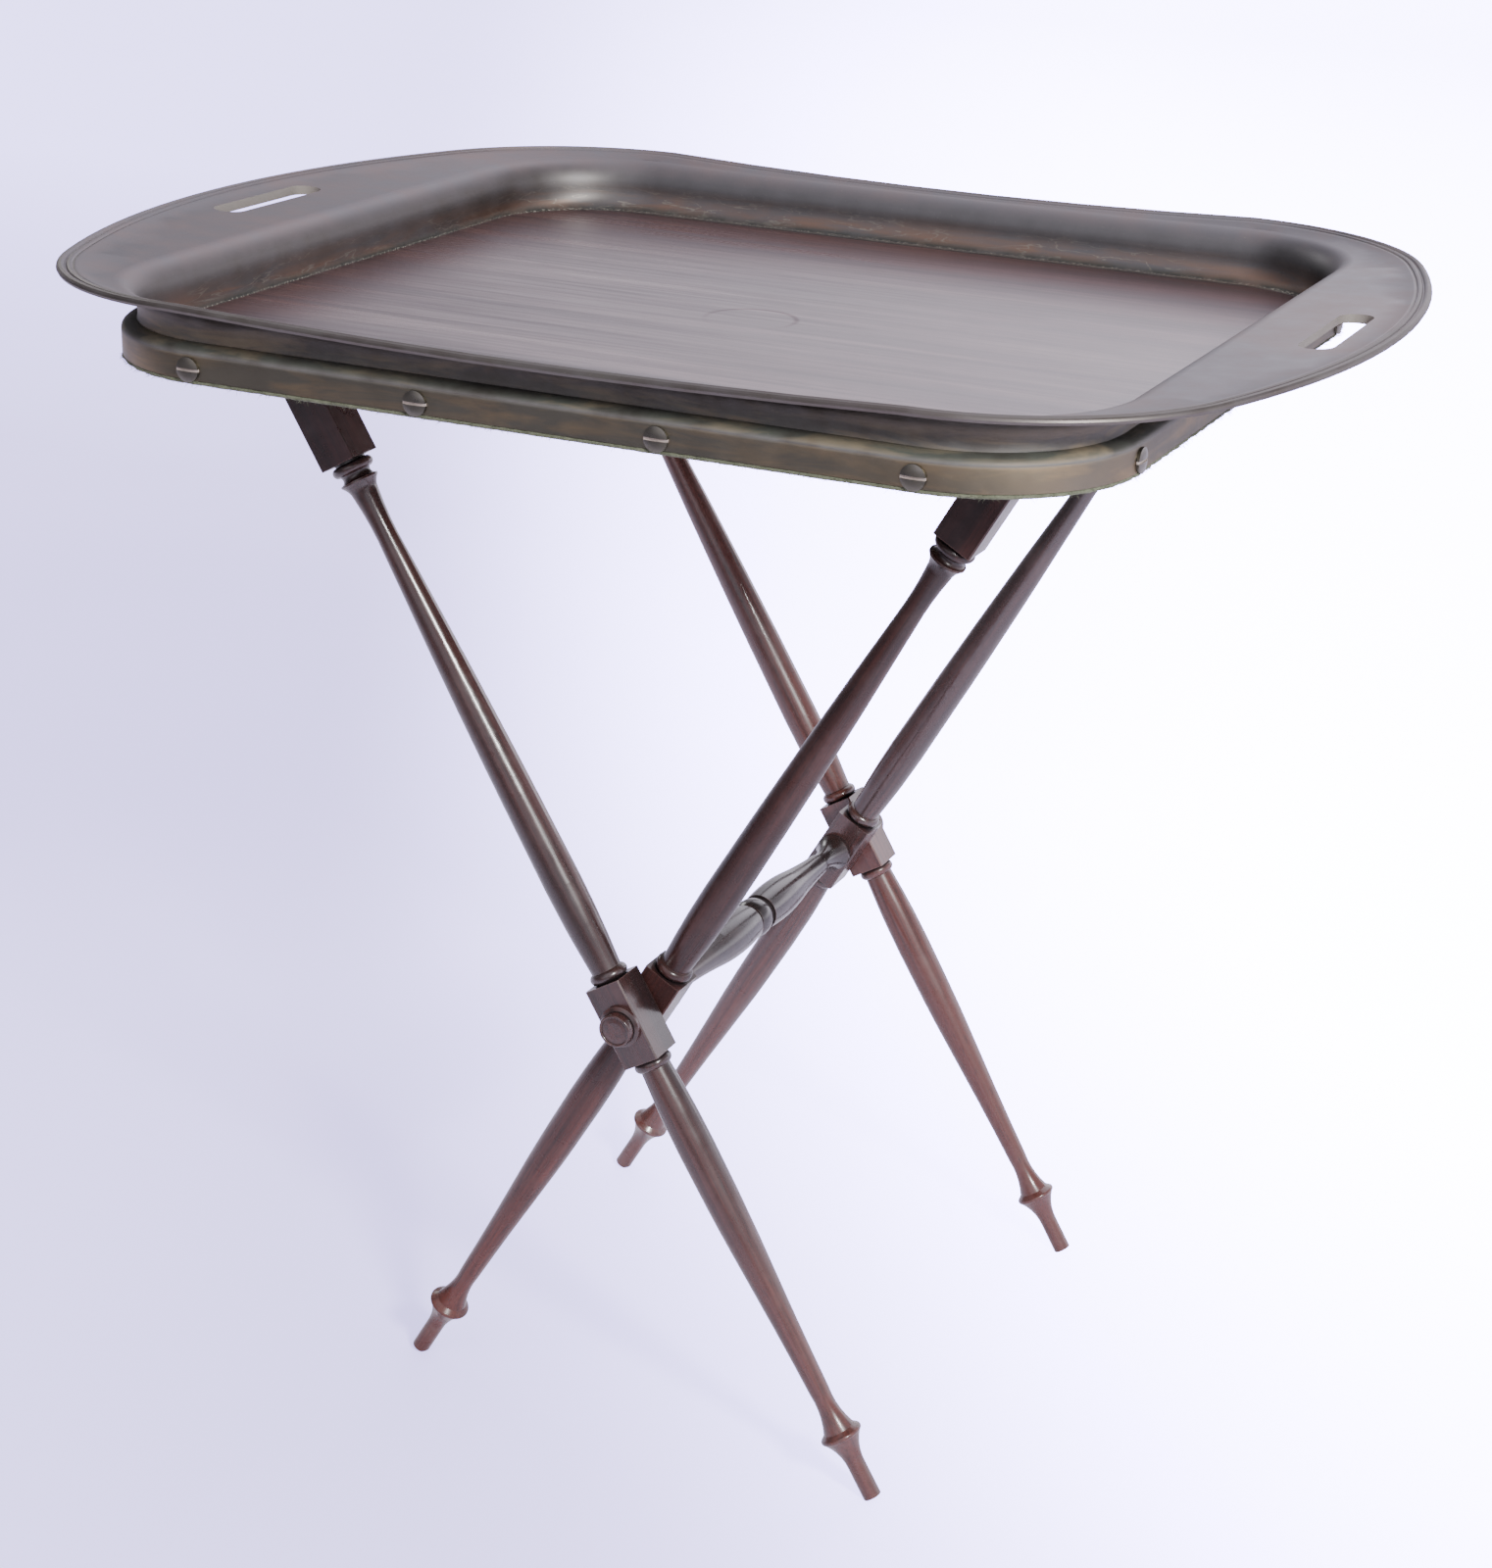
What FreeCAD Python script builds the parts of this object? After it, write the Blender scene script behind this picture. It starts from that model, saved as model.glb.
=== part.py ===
"""Butler's tray on a folding turned stand, as separate pieces in millimetres.

The origin lies on the floor under the middle of the stand. X runs along the tray, Y from front to
back and Z up. The outer legs lean one way, the inner legs the other, and both pairs cross on the
pivot line, which runs along Y.
"""
import FreeCAD, Part
import Sketcher
import math
import os
from types import SimpleNamespace

Vector = FreeCAD.Vector

# Driving sizes: name, value and what it measures (millimetres, angles in degrees)
SIZES = [
    ("leg_lean", 30.4, "lean of every leg from upright"),
    ("block_width", 26.0, "side of the square blocks on the legs"),
    ("block_chamfer", 0.8, "long edges of the square blocks"),
    ("crossing_length", 54.0, "square block at the crossing"),
    ("neck_radius", 9.6, "turned necks beside the blocks"),
    ("crossing_ring_length", 7.0, "rings beside the crossing block"),
    ("crossing_ring_radius", 12.2, "crest of those rings"),
    ("lower_rise_length", 26.0, "ring to the curve under it"),
    ("lower_rise_radius", 11.1, "radius there"),
    ("lower_swell_length", 32.0, "on to the fullest place of the lower leg"),
    ("lower_swell_radius", 11.65, "radius there"),
    ("thigh_length", 48.0, "on to the middle of the full curve"),
    ("thigh_radius", 10.95, "radius there"),
    ("shin_length", 50.0, "on to the turn of the curve"),
    ("shin_radius", 8.95, "radius there"),
    ("calf_length", 39.0, "on to the middle of the taper"),
    ("calf_radius", 7.4, "radius there"),
    ("ankle_length", 35.0, "on to the thinnest place"),
    ("ankle_radius", 6.5, "radius there"),
    ("foot_throat_length", 17.5, "on to the hollow above the foot"),
    ("foot_throat_radius", 7.3, "radius there"),
    ("foot_flare_length", 9.7, "on to the flare"),
    ("foot_flare_radius", 10.2, "radius there"),
    ("foot_edge_length", 2.1, "on to the foot ring's edge"),
    ("foot_edge_radius", 12.5, "radius of the ring's edges"),
    ("foot_ring_length", 3.4, "foot ring"),
    ("foot_ring_radius", 13.6, "crest of the foot ring"),
    ("foot_cove_length", 7.8, "ring to the middle of the hollow under it"),
    ("foot_cove_radius", 8.1, "radius there"),
    ("peg_shoulder_length", 13.5, "on to the peg"),
    ("peg_length", 22.0, "straight peg of the foot"),
    ("peg_radius", 5.8, "radius of the peg"),
    ("foot_wear", 1.2, "depth of the level wear flat on each foot"),
    ("upper_rise_length", 24.0, "ring to the curve above it"),
    ("upper_rise_radius", 11.05, "radius there"),
    ("upper_swell_length", 35.0, "on to the fullest place of the upper leg"),
    ("upper_swell_radius", 11.85, "radius there"),
    ("upper_taper_length", 112.0, "on to the middle of the taper"),
    ("upper_taper_radius", 10.3, "radius there"),
    ("upper_waist_length", 113.0, "on to the end of the taper"),
    ("upper_waist_radius", 6.9, "radius there"),
    ("throat_length", 18.0, "on to the thinnest place under the cup"),
    ("throat_radius", 6.65, "radius there"),
    ("cup_flare_length", 19.1, "on to the cup's flare"),
    ("cup_flare_radius", 8.05, "radius there"),
    ("cup_turn_length", 5.8, "on to the middle of the flare"),
    ("cup_turn_radius", 9.4, "radius there"),
    ("cup_rim_length", 3.2, "on to the cup's edge"),
    ("cup_radius", 11.8, "radius of that edge"),
    ("cup_edge_length", 1.2, "thickness of that edge"),
    ("cup_groove_length", 4.9, "groove above the cup"),
    ("cup_groove_radius", 8.9, "radius in the groove"),
    ("top_ring_length", 6.4, "ring under the top block"),
    ("top_ring_radius", 12.9, "crest of that ring"),
    ("top_neck_length", 1.2, "neck between ring and top block"),
    ("rail_seat_length", 60.7, "start of the top block to the middle of the rail"),
    ("rail_radius", 12.0, "round top rails"),
    ("rail_tenon_radius", 8.0, "tenons of the top rails"),
    ("strap_width", 50.0, "width of a strap"),
    ("strap_thickness", 1.5, "thickness of a strap"),
    ("strap_gap", 0.3, "strap clear of the rails"),
    ("strap_half_spacing", 80.0, "middle of a strap from the middle of the stand"),
    ("strap_wrap_angle", 150.0, "turn of a strap round each rail"),
    ("bead_half_length", 7.0, "half the stretcher's central bead"),
    ("bead_radius", 13.2, "crest of the central bead"),
    ("bead_edge_radius", 11.4, "edges of the central bead"),
    ("bead_groove_length", 3.0, "grooves beside the central bead"),
    ("bead_groove_radius", 10.6, "radius in those grooves"),
    ("stretcher_shoulder_radius", 12.4, "start of the stretcher's swelling"),
    ("stretcher_swell_length", 26.0, "groove to the fullest place"),
    ("stretcher_swell_radius", 13.5, "radius there"),
    ("stretcher_turn_length", 20.0, "on to the turn of the curve"),
    ("stretcher_turn_radius", 12.0, "radius there"),
    ("stretcher_taper_length", 18.0, "on to the middle of the taper"),
    ("stretcher_taper_radius", 9.7, "radius there"),
    ("stretcher_neck_length", 28.0, "on to the thinnest place"),
    ("stretcher_neck_radius", 7.5, "radius there"),
    ("stretcher_flare_length", 19.0, "on to the flare"),
    ("stretcher_flare_radius", 8.7, "radius there"),
    ("stretcher_cup_length", 6.5, "on to the end collar"),
    ("stretcher_collar_length", 4.0, "end collars"),
    ("stretcher_collar_radius", 12.4, "radius of the end collars"),
    ("pin_radius", 5.0, "shank of a pivot pin"),
    ("pin_engagement", 18.0, "shank inside the stretcher"),
    ("pin_collar_radius", 13.2, "collar of a pivot pin"),
    ("pin_collar_height", 3.2, "height of that collar"),
    ("knob_radius", 11.0, "knob of a pivot pin"),
    ("knob_height", 6.0, "height of that knob"),
    ("washer_thickness", 1.5, "washer between the crossing blocks"),
    ("washer_radius", 11.0, "outer radius of the washer"),
    ("fit_clearance", 0.1, "clearance of fixed fits and of the outer legs on their pins"),
    ("baize_thickness", 3.0, "baize under the tray"),
    ("band_half_length", 310.7, "half the tray's band along X"),
    ("band_half_depth", 286.9, "half the tray's band along Y"),
    ("band_corner", 92.0, "corner radius of the band"),
    ("band_height", 14.5, "height of the band"),
    ("metal_thickness", 2.0, "sheet of the gallery"),
    ("shoulder_height", 5.3, "rounded shoulder above the band"),
    ("shoulder_step", 9.0, "shoulder stepping in from the band"),
    ("neck_rise", 3.2, "shoulder to neck"),
    ("neck_inset", 9.7, "neck inside the band's face"),
    ("neck_wall", 2.2, "metal at the neck"),
    ("flare_reach", 15.0, "flare from neck to flange underside"),
    ("roll_reach", 15.4, "roll from inner neck to flange"),
    ("flange_rise", 18.5, "neck to the flange's inner edge"),
    ("flange_dip", 2.5, "inner edge of the flange lower in the middle of the long sides"),
    ("flange_side_width", 2.9, "flange between roll and lip, long sides"),
    ("flange_end_width", 71.5, "flange between roll and lip, middle of the ends"),
    ("floor_height", 8.0, "wooden floor above the band's lower edge"),
    ("rebate_depth", 0.8, "foot of the cove let into the board"),
    ("batten_height", 5.0, "raised edge of the board above the floor"),
    ("batten_side_width", 12.0, "raised edge of the board, long sides"),
    ("batten_end_width", 8.4, "raised edge of the board, ends"),
    ("cove_side_foot", 11.8, "foot of the cove inside the raised edge, long sides"),
    ("cove_end_foot", 1.8, "foot of the cove inside the raised edge, ends"),
    ("rim_corner", 150.0, "corner radius of the rim"),
    ("bow_depth", 88.3, "ends bowing out beyond the rim's square corners"),
    ("rim_lift", 2.5, "rim at the corners above the flange's inner edge"),
    ("rim_dip", 4.8, "rim lower in the middle of the long sides"),
    ("rim_rise", 1.0, "rim higher in the middle of the ends"),
    ("lip_width", 13.0, "reeded lip on the rim"),
    ("lip_rise", 2.4, "lip above the flange"),
    ("slot_distance", 45.8, "flange's inner edge to the middle of a hand slot"),
    ("slot_length", 105.0, "hand slot along Y"),
    ("slot_width", 21.0, "hand slot along X"),
    ("slot_wall", 1.6, "turned-down edge of the slot, thickness"),
    ("slot_depth", 5.5, "turned-down edge of the slot, depth"),
    ("screw_height", 6.0, "screws above the band's lower edge"),
    ("screw_corner_distance", 90.5, "outer screws of the long sides from the band's ends"),
    ("screw_end_distance", 92.9, "end screws from the band's long sides"),
    ("screw_head_radius", 7.2, "low domed screw heads"),
    ("screw_head_height", 2.4, "height of the heads"),
    ("screw_head_edge", 1.5, "straight edge of the heads"),
    ("screw_radius", 1.9, "screw shanks"),
    ("screw_depth", 9.0, "shanks behind the band's face"),
    ("screw_slot_width", 1.5, "slots of the screws"),
    ("screw_slot_depth", 1.4, "depth of those slots"),
    ("cut_overrun", 6.0, "cuts running past the faces they open"),
]

# Lip from its underside over three reeds to the flange: shares of lip width and of lip rise
LIP_SHARES = [
    (0.26, -0.95), (0.07, -0.7), (0.0, 0.0), (0.03, 0.5), (0.11, 0.88), (0.23, 1.0), (0.33, 0.8),
    (0.38, 0.35), (0.44, 0.3), (0.49, 0.6), (0.58, 0.74), (0.67, 0.62), (0.72, 0.25), (0.78, 0.34),
    (0.88, 0.3), (1.0, 0.0),
]

# Quarter turns of the gallery's section are divided into this many steps
QUARTER_STEPS = 8

# A square corner's arc passes this share of its radius inside the corner point
ROUND_SHARE = 1 - math.sqrt(0.5)

# Shape of the pin's knob and collar, shares of their own sizes
KNOB_FOOT_SHARE = 0.93
KNOB_FULL_SHARE = 0.42
KNOB_BROW_SHARE = 0.8
KNOB_BROW_RADIUS_SHARE = 0.95
KNOB_RIM_RADIUS_SHARE = 0.88
KNOB_FACE_SHARE = 0.85
KNOB_FACE_RADIUS_SHARE = 0.79
KNOB_CROWN_SHARE = 0.92
KNOB_CROWN_RADIUS_SHARE = 0.5
COLLAR_EDGE_SHARE = 0.65
COLLAR_BEVEL_SHARE = 0.84

# Screw head's dome passes these shares of its radius and of its rise, up to a small flat
DOME_RADIUS_SHARE = 0.64
DOME_RISE_SHARE = 0.7
DOME_FLAT_SHARE = 0.2

FRONT = -1
BACK = 1


class Term:
    """A size: its formula for bound properties and its number for drawing."""

    def __init__(self, text, number):
        self.text = text
        self.number = number

    def __add__(self, other):
        return Term(f"({self.text} + {other.text})", self.number + other.number)

    def __sub__(self, other):
        return Term(f"({self.text} - {other.text})", self.number - other.number)

    def __neg__(self):
        return Term(f"(-1 * {self.text})", -self.number)

    def __mul__(self, other):
        if isinstance(other, Term):
            return Term(f"({self.text} * {other.text})", self.number * other.number)
        return Term(f"({self.text} * {other})", self.number * other)

    def __truediv__(self, other):
        if isinstance(other, Term):
            return Term(f"({self.text} / {other.text})", self.number / other.number)
        return Term(f"({self.text} / {other})", self.number / other)


def cosine(angle):
    return Term(f"cos({angle.text})", math.cos(math.radians(angle.number)))


def sine(angle):
    return Term(f"sin({angle.text})", math.sin(math.radians(angle.number)))


def make_sheet(doc):
    """Spreadsheet of the driving sizes, each cell named."""
    sheet = doc.addObject("Spreadsheet::Sheet", "Sizes")
    for row, (name, value, meaning) in enumerate(SIZES, start=1):
        sheet.set(f"A{row}", meaning)
        sheet.set(f"B{row}", str(value))
        sheet.setAlias(f"B{row}", name)
    doc.recompute()
    return sheet


doc = FreeCAD.newDocument("ButlersTray")
sheet = make_sheet(doc)
size = SimpleNamespace(**{name: Term(f"Sizes.{name}", float(sheet.get(name))) for name, _, _ in SIZES})
nothing = Term("0", 0.0)


def corner(x, y):
    return (True, x, y)


def through(x, y):
    return (False, x, y)


def run(start, steps, way):
    """Points of a turned outline, each a length beyond the last, and the distance reached."""
    points = []
    reached = start
    for kind, radius, length in steps:
        reached = reached + length
        points.append(kind(radius, reached * way))
    return points, reached


# Turned outline of a leg above and below the crossing, then of half the stretcher
half_block = size.block_width / 2
half_crossing = size.crossing_length / 2
half_ring = size.crossing_ring_length / 2
lower_points, foot_reach = run(half_crossing, [
    (through, size.crossing_ring_radius, half_ring),
    (corner, size.neck_radius, half_ring),
    (through, size.lower_rise_radius, size.lower_rise_length),
    (corner, size.lower_swell_radius, size.lower_swell_length),
    (through, size.thigh_radius, size.thigh_length),
    (corner, size.shin_radius, size.shin_length),
    (through, size.calf_radius, size.calf_length),
    (corner, size.ankle_radius, size.ankle_length),
    (through, size.foot_throat_radius, size.foot_throat_length),
    (corner, size.foot_flare_radius, size.foot_flare_length),
    (corner, size.foot_edge_radius, size.foot_edge_length),
    (through, size.foot_ring_radius, size.foot_ring_length / 2),
    (corner, size.foot_edge_radius, size.foot_ring_length / 2),
    (through, size.foot_cove_radius, size.foot_cove_length),
    (corner, size.peg_radius, size.peg_shoulder_length),
    (corner, size.peg_radius, size.peg_length),
], -1)
upper_points, top_block_start = run(half_crossing, [
    (through, size.crossing_ring_radius, half_ring),
    (corner, size.neck_radius, half_ring),
    (through, size.upper_rise_radius, size.upper_rise_length),
    (corner, size.upper_swell_radius, size.upper_swell_length),
    (through, size.upper_taper_radius, size.upper_taper_length),
    (corner, size.upper_waist_radius, size.upper_waist_length),
    (through, size.throat_radius, size.throat_length),
    (corner, size.cup_flare_radius, size.cup_flare_length),
    (through, size.cup_turn_radius, size.cup_turn_length),
    (corner, size.cup_radius, size.cup_rim_length),
    (corner, size.cup_radius, size.cup_edge_length),
    (through, size.cup_groove_radius, size.cup_groove_length / 2),
    (corner, size.neck_radius, size.cup_groove_length / 2),
    (through, size.top_ring_radius, size.top_ring_length / 2),
    (corner, size.neck_radius, size.top_ring_length / 2),
    (corner, size.neck_radius, size.top_neck_length),
], 1)
STRETCHER_STEPS = [
    (corner, size.bead_groove_radius, nothing),
    (corner, size.bead_groove_radius, size.bead_groove_length),
    (corner, size.stretcher_shoulder_radius, nothing),
    (through, size.stretcher_swell_radius, size.stretcher_swell_length),
    (corner, size.stretcher_turn_radius, size.stretcher_turn_length),
    (through, size.stretcher_taper_radius, size.stretcher_taper_length),
    (corner, size.stretcher_neck_radius, size.stretcher_neck_length),
    (through, size.stretcher_flare_radius, size.stretcher_flare_length),
    (corner, size.stretcher_collar_radius, size.stretcher_cup_length),
    (corner, size.stretcher_collar_radius, size.stretcher_collar_length),
]
stretcher_half = run(size.bead_half_length, STRETCHER_STEPS, 1)[1]

# Places shared by several pieces of the stand
lean_cosine = cosine(size.leg_lean)
lean_sine = sine(size.leg_lean)
lean_slope = lean_sine / lean_cosine
inner_leg_offset = stretcher_half + half_block
outer_leg_offset = inner_leg_offset + size.block_width + size.washer_thickness
pivot_height = foot_reach * lean_cosine + size.peg_radius * lean_sine - size.foot_wear
rail_reach = top_block_start + size.rail_seat_length
rail_side = rail_reach * lean_sine
rail_rise = rail_reach * lean_cosine
rail_height = pivot_height + rail_rise
leg_top_rise = rail_rise + size.rail_radius + size.strap_gap
strap_inner = size.rail_radius + size.strap_gap
strap_outer = strap_inner + size.strap_thickness

# Places shared by several pieces of the tray, heights above the band's lower edge
tray_base = rail_height + strap_outer
band_base = tray_base + size.baize_thickness
shoulder_level = size.band_height + size.shoulder_height
neck_level = shoulder_level + size.neck_rise
flange_level = neck_level + size.flange_rise
rim_level = flange_level + size.rim_lift
batten_level = size.floor_height + size.batten_height
rebate_level = size.floor_height - size.rebate_depth
board_inset = size.metal_thickness + size.fit_clearance
foot_side_inset = board_inset + size.batten_side_width + size.fit_clearance
foot_end_inset = board_inset + size.batten_end_width + size.fit_clearance
cove_side_inset = foot_side_inset + size.cove_side_foot
cove_end_inset = foot_end_inset + size.cove_end_foot
roll_top = size.roll_reach - size.neck_inset - size.neck_wall
rim_half_length = size.band_half_length + roll_top + size.flange_end_width + size.lip_width
rim_half_depth = size.band_half_depth + roll_top + size.flange_side_width + size.lip_width
rim_bow = (rim_half_depth * rim_half_depth + size.bow_depth * size.bow_depth) / (size.bow_depth * 2)
slot_offset = size.band_half_length + roll_top + size.slot_distance
screw_outer = size.band_half_length - size.screw_corner_distance
screw_inner = screw_outer / 3
screw_end_offset = size.band_half_depth - size.screw_end_distance

pieces = []


def new_body(label):
    """Empty body that becomes one piece of the part."""
    body = doc.addObject("PartDesign::Body", label)
    body.Label = label
    pieces.append(body)
    return body


def place(body, x, y, z, rotation):
    """Placement of a piece, its position bound to the sizes."""
    body.Placement = FreeCAD.Placement(Vector(x.number, y.number, z.number), rotation)
    for axis, term in (("x", x), ("y", y), ("z", z)):
        body.setExpression(f"Placement.Base.{axis}", term.text)


def new_sketch(body, name, role, offset=nothing):
    """Sketch on one of the body's own planes, moved along the plane's normal by the offset."""
    sketch = body.newObject("Sketcher::SketchObject", f"{body.Label}_{name}")
    plane = [feature for feature in body.Origin.OriginFeatures if feature.Role == role][0]
    sketch.AttachmentSupport = [(plane, "")]
    sketch.MapMode = "FlatFace"
    if offset is not nothing:
        sketch.AttachmentOffset = FreeCAD.Placement(Vector(0, 0, offset.number), FreeCAD.Rotation())
        sketch.setExpression("AttachmentOffset.Base.z", offset.text)
    return sketch


def anchor(rules, bindings, direction, geometry, position, term):
    """Rule that holds one coordinate of a sketch point at a size."""
    origin = (-1, 1)
    point = (geometry, position)
    if term.number == 0:
        axis = {"DistanceX": -2, "DistanceY": -1}[direction]
        rules.append(Sketcher.Constraint("PointOnObject", geometry, position, axis))
    elif term.number > 0:
        bindings.append((len(rules), term.text))
        rules.append(Sketcher.Constraint(direction, *origin, *point, term.number))
    else:
        bindings.append((len(rules), (-term).text))
        rules.append(Sketcher.Constraint(direction, *point, *origin, -term.number))


def bind(sketch, rules, bindings):
    """Adds the rules to the sketch and binds their values to the sizes."""
    first = sketch.ConstraintCount
    sketch.addConstraint(rules)
    for index, text in bindings:
        sketch.setExpression(f"Constraints[{first + index}]", text)


def draw(sketch, points):
    """Closed outline through corners, with an arc where a through point lies between two corners."""
    corners = [index for index, point in enumerate(points) if point[0]]
    rules = []
    bindings = []
    edges = []
    for order, index in enumerate(corners):
        following = corners[(order + 1) % len(corners)]
        start = Vector(points[index][1].number, points[index][2].number, 0)
        end = Vector(points[following][1].number, points[following][2].number, 0)
        between = points[(index + 1) % len(points)]
        if between[0]:
            edge = sketch.addGeometry(Part.LineSegment(start, end), False)
        else:
            middle = Vector(between[1].number, between[2].number, 0)
            edge = sketch.addGeometry(Part.Arc(start, middle, end), False)
            mark = sketch.addGeometry(Part.Point(middle), True)
            rules.append(Sketcher.Constraint("PointOnObject", mark, 1, edge))
            anchor(rules, bindings, "DistanceX", mark, 1, between[1])
            anchor(rules, bindings, "DistanceY", mark, 1, between[2])
        forward = (sketch.getPoint(edge, 1) - start).Length < (sketch.getPoint(edge, 2) - start).Length
        ends = (1, 2) if forward else (2, 1)
        edges.append((edge, *ends))
        anchor(rules, bindings, "DistanceX", edge, ends[0], points[index][1])
        anchor(rules, bindings, "DistanceY", edge, ends[0], points[index][2])
    for order, (edge, start, end) in enumerate(edges):
        following = edges[(order + 1) % len(edges)]
        rules.append(Sketcher.Constraint("Coincident", edge, end, following[0], following[1]))
    bind(sketch, rules, bindings)


def draw_circles(sketch, centres, radius):
    """Equal circles round the given centres."""
    rules = []
    bindings = []
    for x, y in centres:
        circle = Part.Circle(Vector(x.number, y.number, 0), Vector(0, 0, 1), radius.number)
        ring = sketch.addGeometry(circle, False)
        bindings.append((len(rules), radius.text))
        rules.append(Sketcher.Constraint("Radius", ring, radius.number))
        anchor(rules, bindings, "DistanceX", ring, 3, x)
        anchor(rules, bindings, "DistanceY", ring, 3, y)
    bind(sketch, rules, bindings)


def turn(body, points):
    """Solid turned about the body's Z axis; points are (radius, height)."""
    sketch = new_sketch(body, "profile", "XZ_Plane")
    draw(sketch, points)
    feature = body.newObject("PartDesign::Revolution", f"{body.Label}_turning")
    feature.Profile = sketch
    feature.ReferenceAxis = (sketch, ["V_Axis"])
    feature.Angle = 360
    doc.recompute()


def pad(body, sketch, name, length):
    """Solid raised from a sketch along its normal."""
    feature = body.newObject("PartDesign::Pad", f"{body.Label}_{name}")
    feature.Profile = sketch
    feature.Length = length.number
    feature.setExpression("Length", length.text)
    doc.recompute()


def cut(body, sketch, name, depth, along_normal=False):
    """Material removed from a sketch, against its normal unless told otherwise."""
    volume = body.Shape.Volume
    feature = body.newObject("PartDesign::Pocket", f"{body.Label}_{name}")
    feature.Profile = sketch
    feature.Length = depth.number
    feature.setExpression("Length", depth.text)
    feature.Reversed = along_normal
    doc.recompute()
    if body.Shape.Volume >= volume:
        raise ValueError(f"{body.Label}: {name} removes nothing")


def rectangle(half_x, half_y):
    """Outline with four square corners, centred."""
    return [
        corner(half_x, half_y), corner(-half_x, half_y),
        corner(-half_x, -half_y), corner(half_x, -half_y),
    ]


def block_outline():
    """Square across a leg's block, its corners cut off by the chamfer."""
    flat = half_block - size.block_chamfer
    return [
        corner(half_block, -flat), corner(half_block, flat),
        corner(flat, half_block), corner(-flat, half_block),
        corner(-half_block, flat), corner(-half_block, -flat),
        corner(-flat, -half_block), corner(flat, -half_block),
    ]


def rounded_rectangle(half_x, half_y, radius):
    """Outline with four round corners, centred."""
    inner_x = half_x - radius
    inner_y = half_y - radius
    round_x = half_x - radius * ROUND_SHARE
    round_y = half_y - radius * ROUND_SHARE
    return [
        corner(half_x, -inner_y), corner(half_x, inner_y),
        through(round_x, round_y), corner(inner_x, half_y), corner(-inner_x, half_y),
        through(-round_x, round_y), corner(-half_x, inner_y), corner(-half_x, -inner_y),
        through(-round_x, -round_y), corner(-inner_x, -half_y), corner(inner_x, -half_y),
        through(round_x, -round_y),
    ]


def leg_points():
    """Turned outline of a leg from foot to top block, heights measured from the pivot."""
    lower_end = [corner(nothing, -foot_reach)]
    crossing = [corner(size.neck_radius, -half_crossing), corner(size.neck_radius, half_crossing)]
    upper_end = [corner(nothing, top_block_start)]
    return lower_end + lower_points[::-1] + crossing + upper_points + upper_end


def level_points(rise, far, slope):
    """Region past a level line that crosses the leg's axis at the given rise, out to a far height."""
    reach = size.block_width
    return [
        corner(-reach, rise - reach * slope), corner(reach, rise + reach * slope),
        corner(reach, far), corner(-reach, far),
    ]


def make_leg(label, offset, side, lean_side):
    """One leg: turned shaft, two square blocks, pivot bore, rail mortise and level ends."""
    body = new_body(label)
    turn(body, leg_points())
    slope = lean_slope * lean_side
    top_reach = leg_top_rise / lean_cosine
    top_end = top_reach + size.block_width * lean_slope
    floor_reach = pivot_height / lean_cosine
    crossing = new_sketch(body, "crossing_outline", "XY_Plane", -half_crossing)
    draw(crossing, block_outline())
    pad(body, crossing, "crossing_block", size.crossing_length)
    top = new_sketch(body, "top_outline", "XY_Plane", top_block_start)
    draw(top, block_outline())
    pad(body, top, "top_block", top_end - top_block_start)
    level_top = new_sketch(body, "top_level", "XZ_Plane", size.block_width)
    draw(level_top, level_points(top_reach, top_end + size.cut_overrun, slope))
    cut(body, level_top, "top_cut", size.block_width * 2)
    level_foot = new_sketch(body, "foot_level", "XZ_Plane", size.block_width)
    draw(level_foot, level_points(-floor_reach, -(foot_reach + size.block_width), slope))
    cut(body, level_foot, "foot_cut", size.block_width * 2)
    bore = new_sketch(body, "bore_outline", "XZ_Plane", size.block_width)
    draw_circles(bore, [(nothing, nothing)], size.pin_radius + size.fit_clearance)
    cut(body, bore, "pivot_bore", size.block_width * 2)
    mortise = new_sketch(body, "mortise_outline", "XZ_Plane")
    draw_circles(mortise, [(nothing, rail_reach)], size.rail_tenon_radius + size.fit_clearance)
    cut(body, mortise, "rail_mortise", size.block_width, side == BACK)
    leaning = FreeCAD.Rotation(Vector(0, lean_side, 0), size.leg_lean.number)
    place(body, nothing, offset * side, pivot_height, leaning)
    body.setExpression("Placement.Rotation.Angle", size.leg_lean.text)


def make_rail(label, face, side):
    """Round top rail between the top blocks of two legs, with a tenon at each end."""
    body = new_body(label)
    end = face + half_block - size.fit_clearance
    turn(body, [
        corner(nothing, -end), corner(size.rail_tenon_radius, -end),
        corner(size.rail_tenon_radius, -face), corner(size.rail_radius, -face),
        corner(size.rail_radius, face), corner(size.rail_tenon_radius, face),
        corner(size.rail_tenon_radius, end), corner(nothing, end),
    ])
    place(body, rail_side * side, nothing, rail_height, FreeCAD.Rotation(Vector(1, 0, 0), 90))


def stretcher_points(side):
    """Half of the stretcher's turned outline from the bead outwards."""
    bead_edge = corner(size.bead_edge_radius, size.bead_half_length * side)
    points, end = run(size.bead_half_length, STRETCHER_STEPS, side)
    return [bead_edge] + points + [corner(nothing, end * side)]


def make_stretcher():
    """Turned bar between the inner legs at the crossing, bored at both ends for the pins."""
    body = new_body("stretcher")
    bead = through(size.bead_radius, nothing)
    turn(body, stretcher_points(FRONT)[::-1] + [bead] + stretcher_points(BACK))
    for side in (FRONT, BACK):
        name = {FRONT: "front", BACK: "back"}[side]
        end = new_sketch(body, f"{name}_bore_outline", "XY_Plane", stretcher_half * side)
        draw_circles(end, [(nothing, nothing)], size.pin_radius + size.fit_clearance)
        cut(body, end, f"{name}_bore", size.pin_engagement + size.fit_clearance, side == FRONT)
    place(body, nothing, nothing, pivot_height, FreeCAD.Rotation(Vector(1, 0, 0), -90))


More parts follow.
